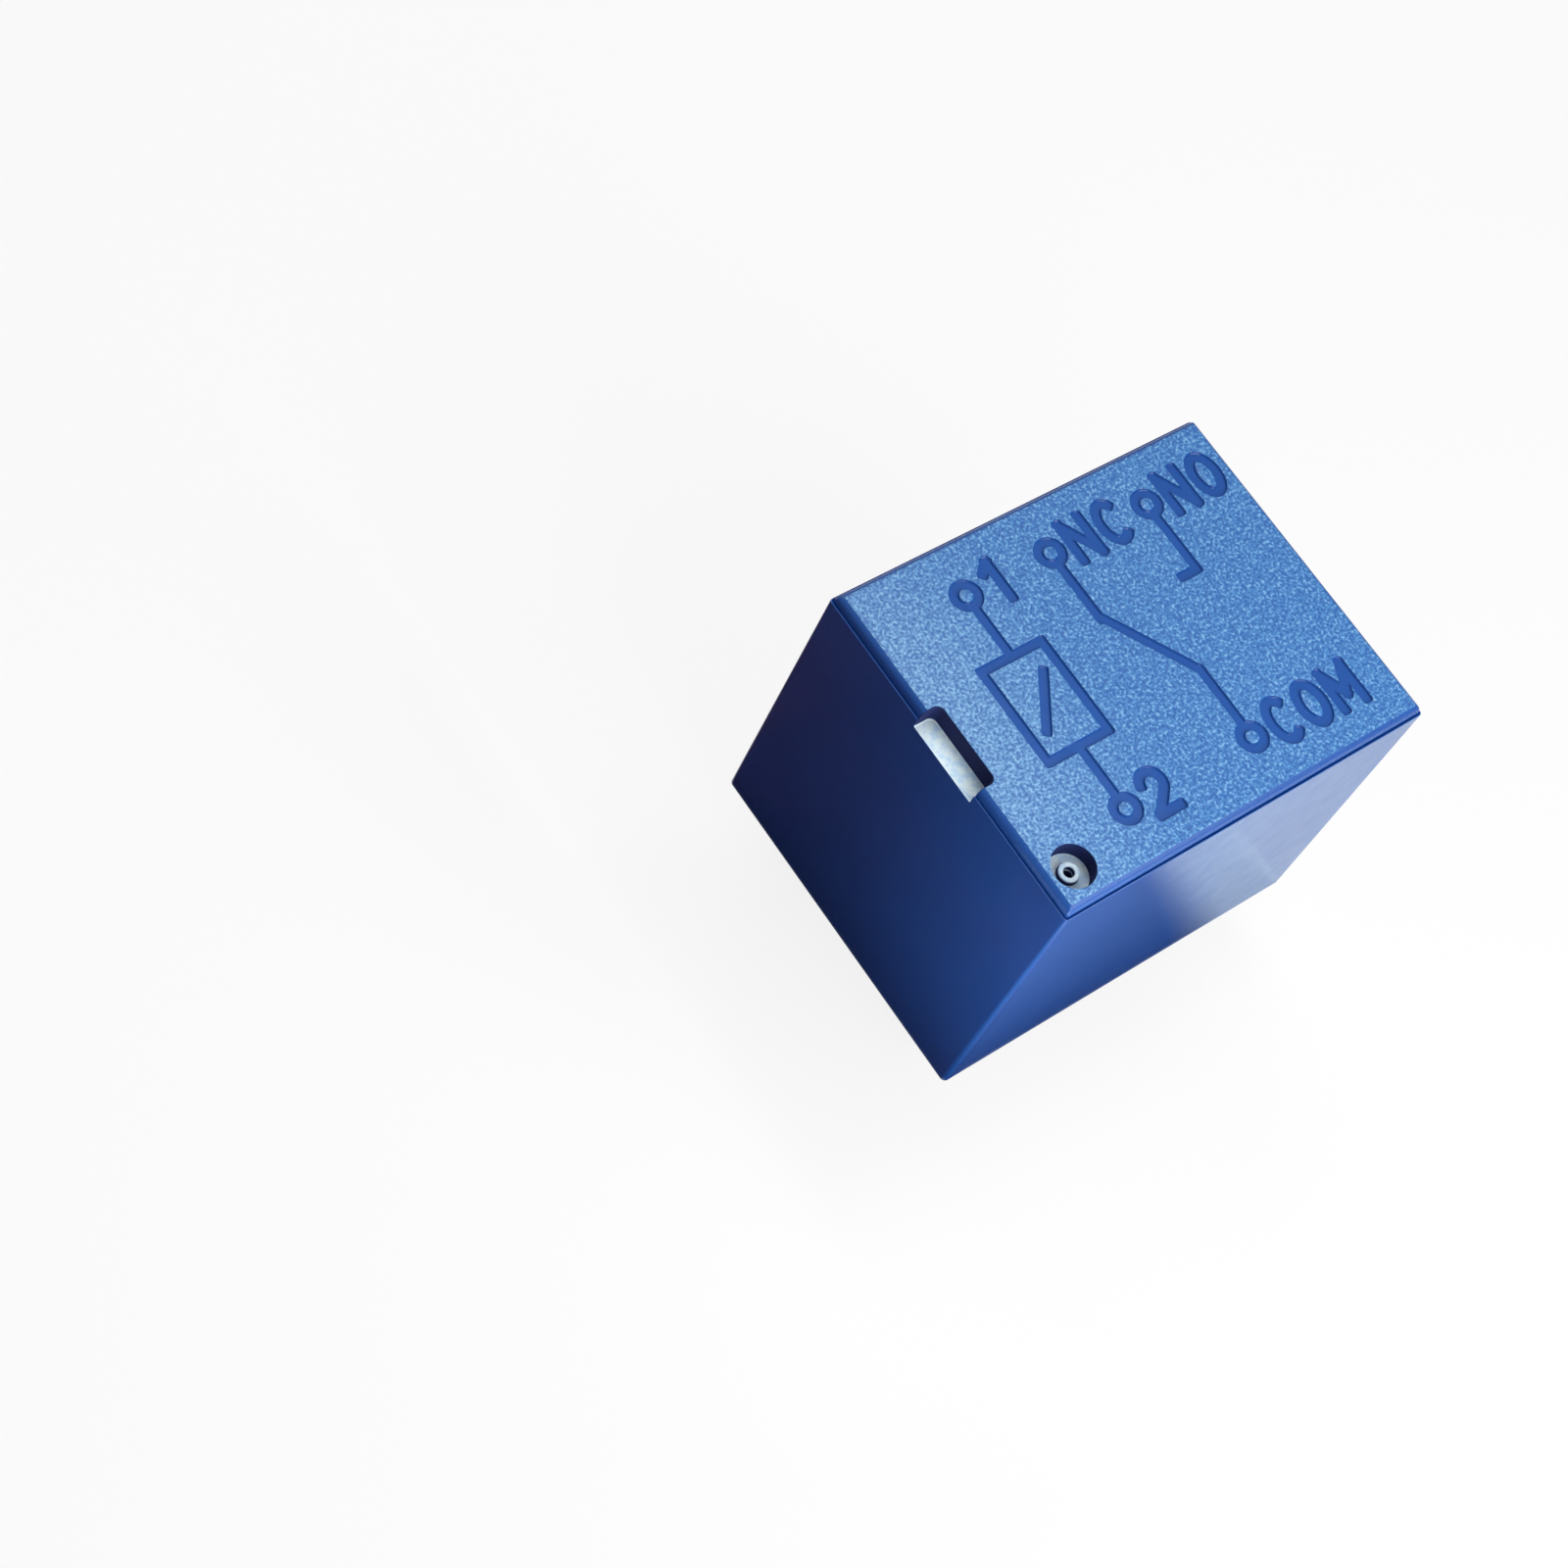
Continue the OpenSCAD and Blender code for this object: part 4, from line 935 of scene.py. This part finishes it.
def leafLoops(spec):
    x = leafStations(spec)
    path, half = leafPath(spec, x), leafHalf(spec, x)
    half = np.concatenate([half, np.full(len(path) - len(half), spec["wide"])])
    run = np.gradient(path, axis=0)
    run /= np.linalg.norm(run, axis=1, keepdims=True)
    up = np.stack([-run[:, 1], run[:, 0]], 1)
    e, t = spec["edge"], spec["thick"] / 2
    side = np.linspace(-1, 1, spec["steps"]["across"])
    level = np.ones_like(side)
    across = np.concatenate([side, [1, 1], side[::-1], [-1, -1]])
    inset = np.concatenate([e * level, [0, 0], e * level, [0, 0]])
    lift = np.concatenate([-t * level, [e - t, t - e], t * level, [t - e, e - t]])
    y = across * (half[:, None] - inset)
    x = path[:, :1] + up[:, :1] * lift
    z = path[:, 1:] + up[:, 1:] * lift
    return np.stack([x, y, z], -1)


spring = loft("leaf_spring", leafLoops(leaf))
softenShading(spring, sharpDeg=40)
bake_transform(spring)
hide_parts("contact_spring")
print("leaf spring made:", len(spring.data.polygons), "faces")


# finishes: two shades mixed by a broad and a fine noise, a range of roughness by a broader one, and a relief;
# stretch draws the noise out along an axis as rolling and brushing do
finishes = {
    "tinned": {"shades": ((0.62, 0.63, 0.64), (0.80, 0.80, 0.79)), "metal": 1.0, "rough": (0.22, 0.44),
               "size": 0.5, "stretch": (1, 1, 0.35), "relief": (0.10, 0.30)},
    "iron": {"shades": ((0.46, 0.47, 0.49), (0.62, 0.63, 0.65)), "metal": 1.0, "rough": (0.30, 0.50),
             "size": 0.5, "stretch": (0.15, 1, 1), "relief": (0.05, 0.12)},
    "bronze": {"shades": ((0.66, 0.40, 0.19), (0.80, 0.55, 0.30)), "metal": 1.0, "rough": (0.20, 0.36),
               "size": 0.3, "stretch": (0.12, 1, 1), "relief": (0.03, 0.08)},
    "silver": {"shades": ((0.80, 0.78, 0.74), (0.93, 0.92, 0.90)), "metal": 1.0, "rough": (0.16, 0.34),
               "size": 0.35, "stretch": (1, 1, 1), "relief": (0.04, 0.10)},
    "copper": {"shades": ((0.50, 0.17, 0.06), (0.78, 0.34, 0.14)), "metal": 1.0, "rough": (0.18, 0.34),
               "size": 0.6, "stretch": (1, 1, 3), "relief": (0.03, 0.10)},
    "blackMoulding": {"shades": ((0.016, 0.016, 0.018), (0.034, 0.034, 0.038)), "metal": 0.0,
                      "rough": (0.42, 0.62), "size": 0.25, "stretch": (1, 1, 1), "relief": (0.20, 0.12)},
    "ivoryMoulding": {"shades": ((0.66, 0.61, 0.50), (0.80, 0.76, 0.66)), "metal": 0.0,
                      "rough": (0.36, 0.55), "size": 0.6, "stretch": (1, 1, 1), "relief": (0.10, 0.15)}}
finishMix = {"shares": (0.65, 0.35), "fineShare": 0.2, "shadeSpan": (0.36, 0.64), "roughSize": 1.7,
             "roughSpan": (0.34, 0.66), "reliefShare": 0.3}


def finishMaterial(name, spec, mix):
    g = Graph(name)
    drawn = g.add("Mapping", {"Vector": g.place, "Scale": spec["stretch"]}).outputs[0]
    size, (low, high), (strength, reach) = spec["size"], spec["shades"], spec["relief"]
    broad, fine = g.noise(size, 3, 0.6, drawn), g.noise(mix["fineShare"] * size, 2, 0.5, drawn)
    mixed = g.shared(broad, fine, mix["shares"])
    colour = g.blend(g.span(mixed, *mix["shadeSpan"]), rgb(*low), rgb(*high))
    worn = g.noise(mix["roughSize"] * size, 3, 0.6, drawn)
    return g.finish(Base_Color=colour, Metallic=spec["metal"],
                    Roughness=g.span(worn, *mix["roughSpan"], *spec["rough"]),
                    Normal=g.bump(mixed, strength, mix["reliefShare"] * reach))


made = {name: finishMaterial(name, spec, finishMix) for name, spec in finishes.items()}
dress(coil, made["copper"])
dress(spring, made["bronze"])

# CAD pieces that keep their shape: the finish, and the width in mm of the edge round that stamping or
# moulding leaves
kept = {"base_plate": ("blackMoulding", 0.06), "bobbin": ("ivoryMoulding", 0.06), "core": ("iron", 0.06),
        "yoke": ("iron", 0.07), "yoke_rivets": ("iron", 0.03), "armature": ("iron", 0.06),
        "armature_rivets": ("iron", 0.03), "coil_lead_a": ("copper", 0), "coil_lead_b": ("copper", 0),
        "moving_contact": ("silver", 0.03), "no_contact": ("silver", 0.03), "nc_contact": ("silver", 0.03),
        "no_terminal": ("tinned", 0.05), "nc_terminal": ("tinned", 0.05), "com_terminal": ("tinned", 0.05),
        "coil_terminal_a": ("tinned", 0.04), "coil_terminal_b": ("tinned", 0.04)}
edgeRound = {"join": 0.001, "sharpDeg": 32, "segments": 3}


# joins the node's loose triangles and rounds its edges, with the mesh itself left alone
def roundEdges(obj, width, spec):
    obj.modifiers.new("joined", "WELD").merge_threshold = spec["join"] * mm
    if width:
        bevel = obj.modifiers.new("edges", "BEVEL")
        bevel.limit_method, bevel.angle_limit = "ANGLE", radians(spec["sharpDeg"])
        bevel.width, bevel.segments = width * mm, spec["segments"]
    keepFlat(obj)


for nodeName, (finish, width) in kept.items():
    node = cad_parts[nodeName]
    dress(node, made[finish])
    roundEdges(node, width, edgeRound)
print("finishes set on", len(kept), "kept pieces")
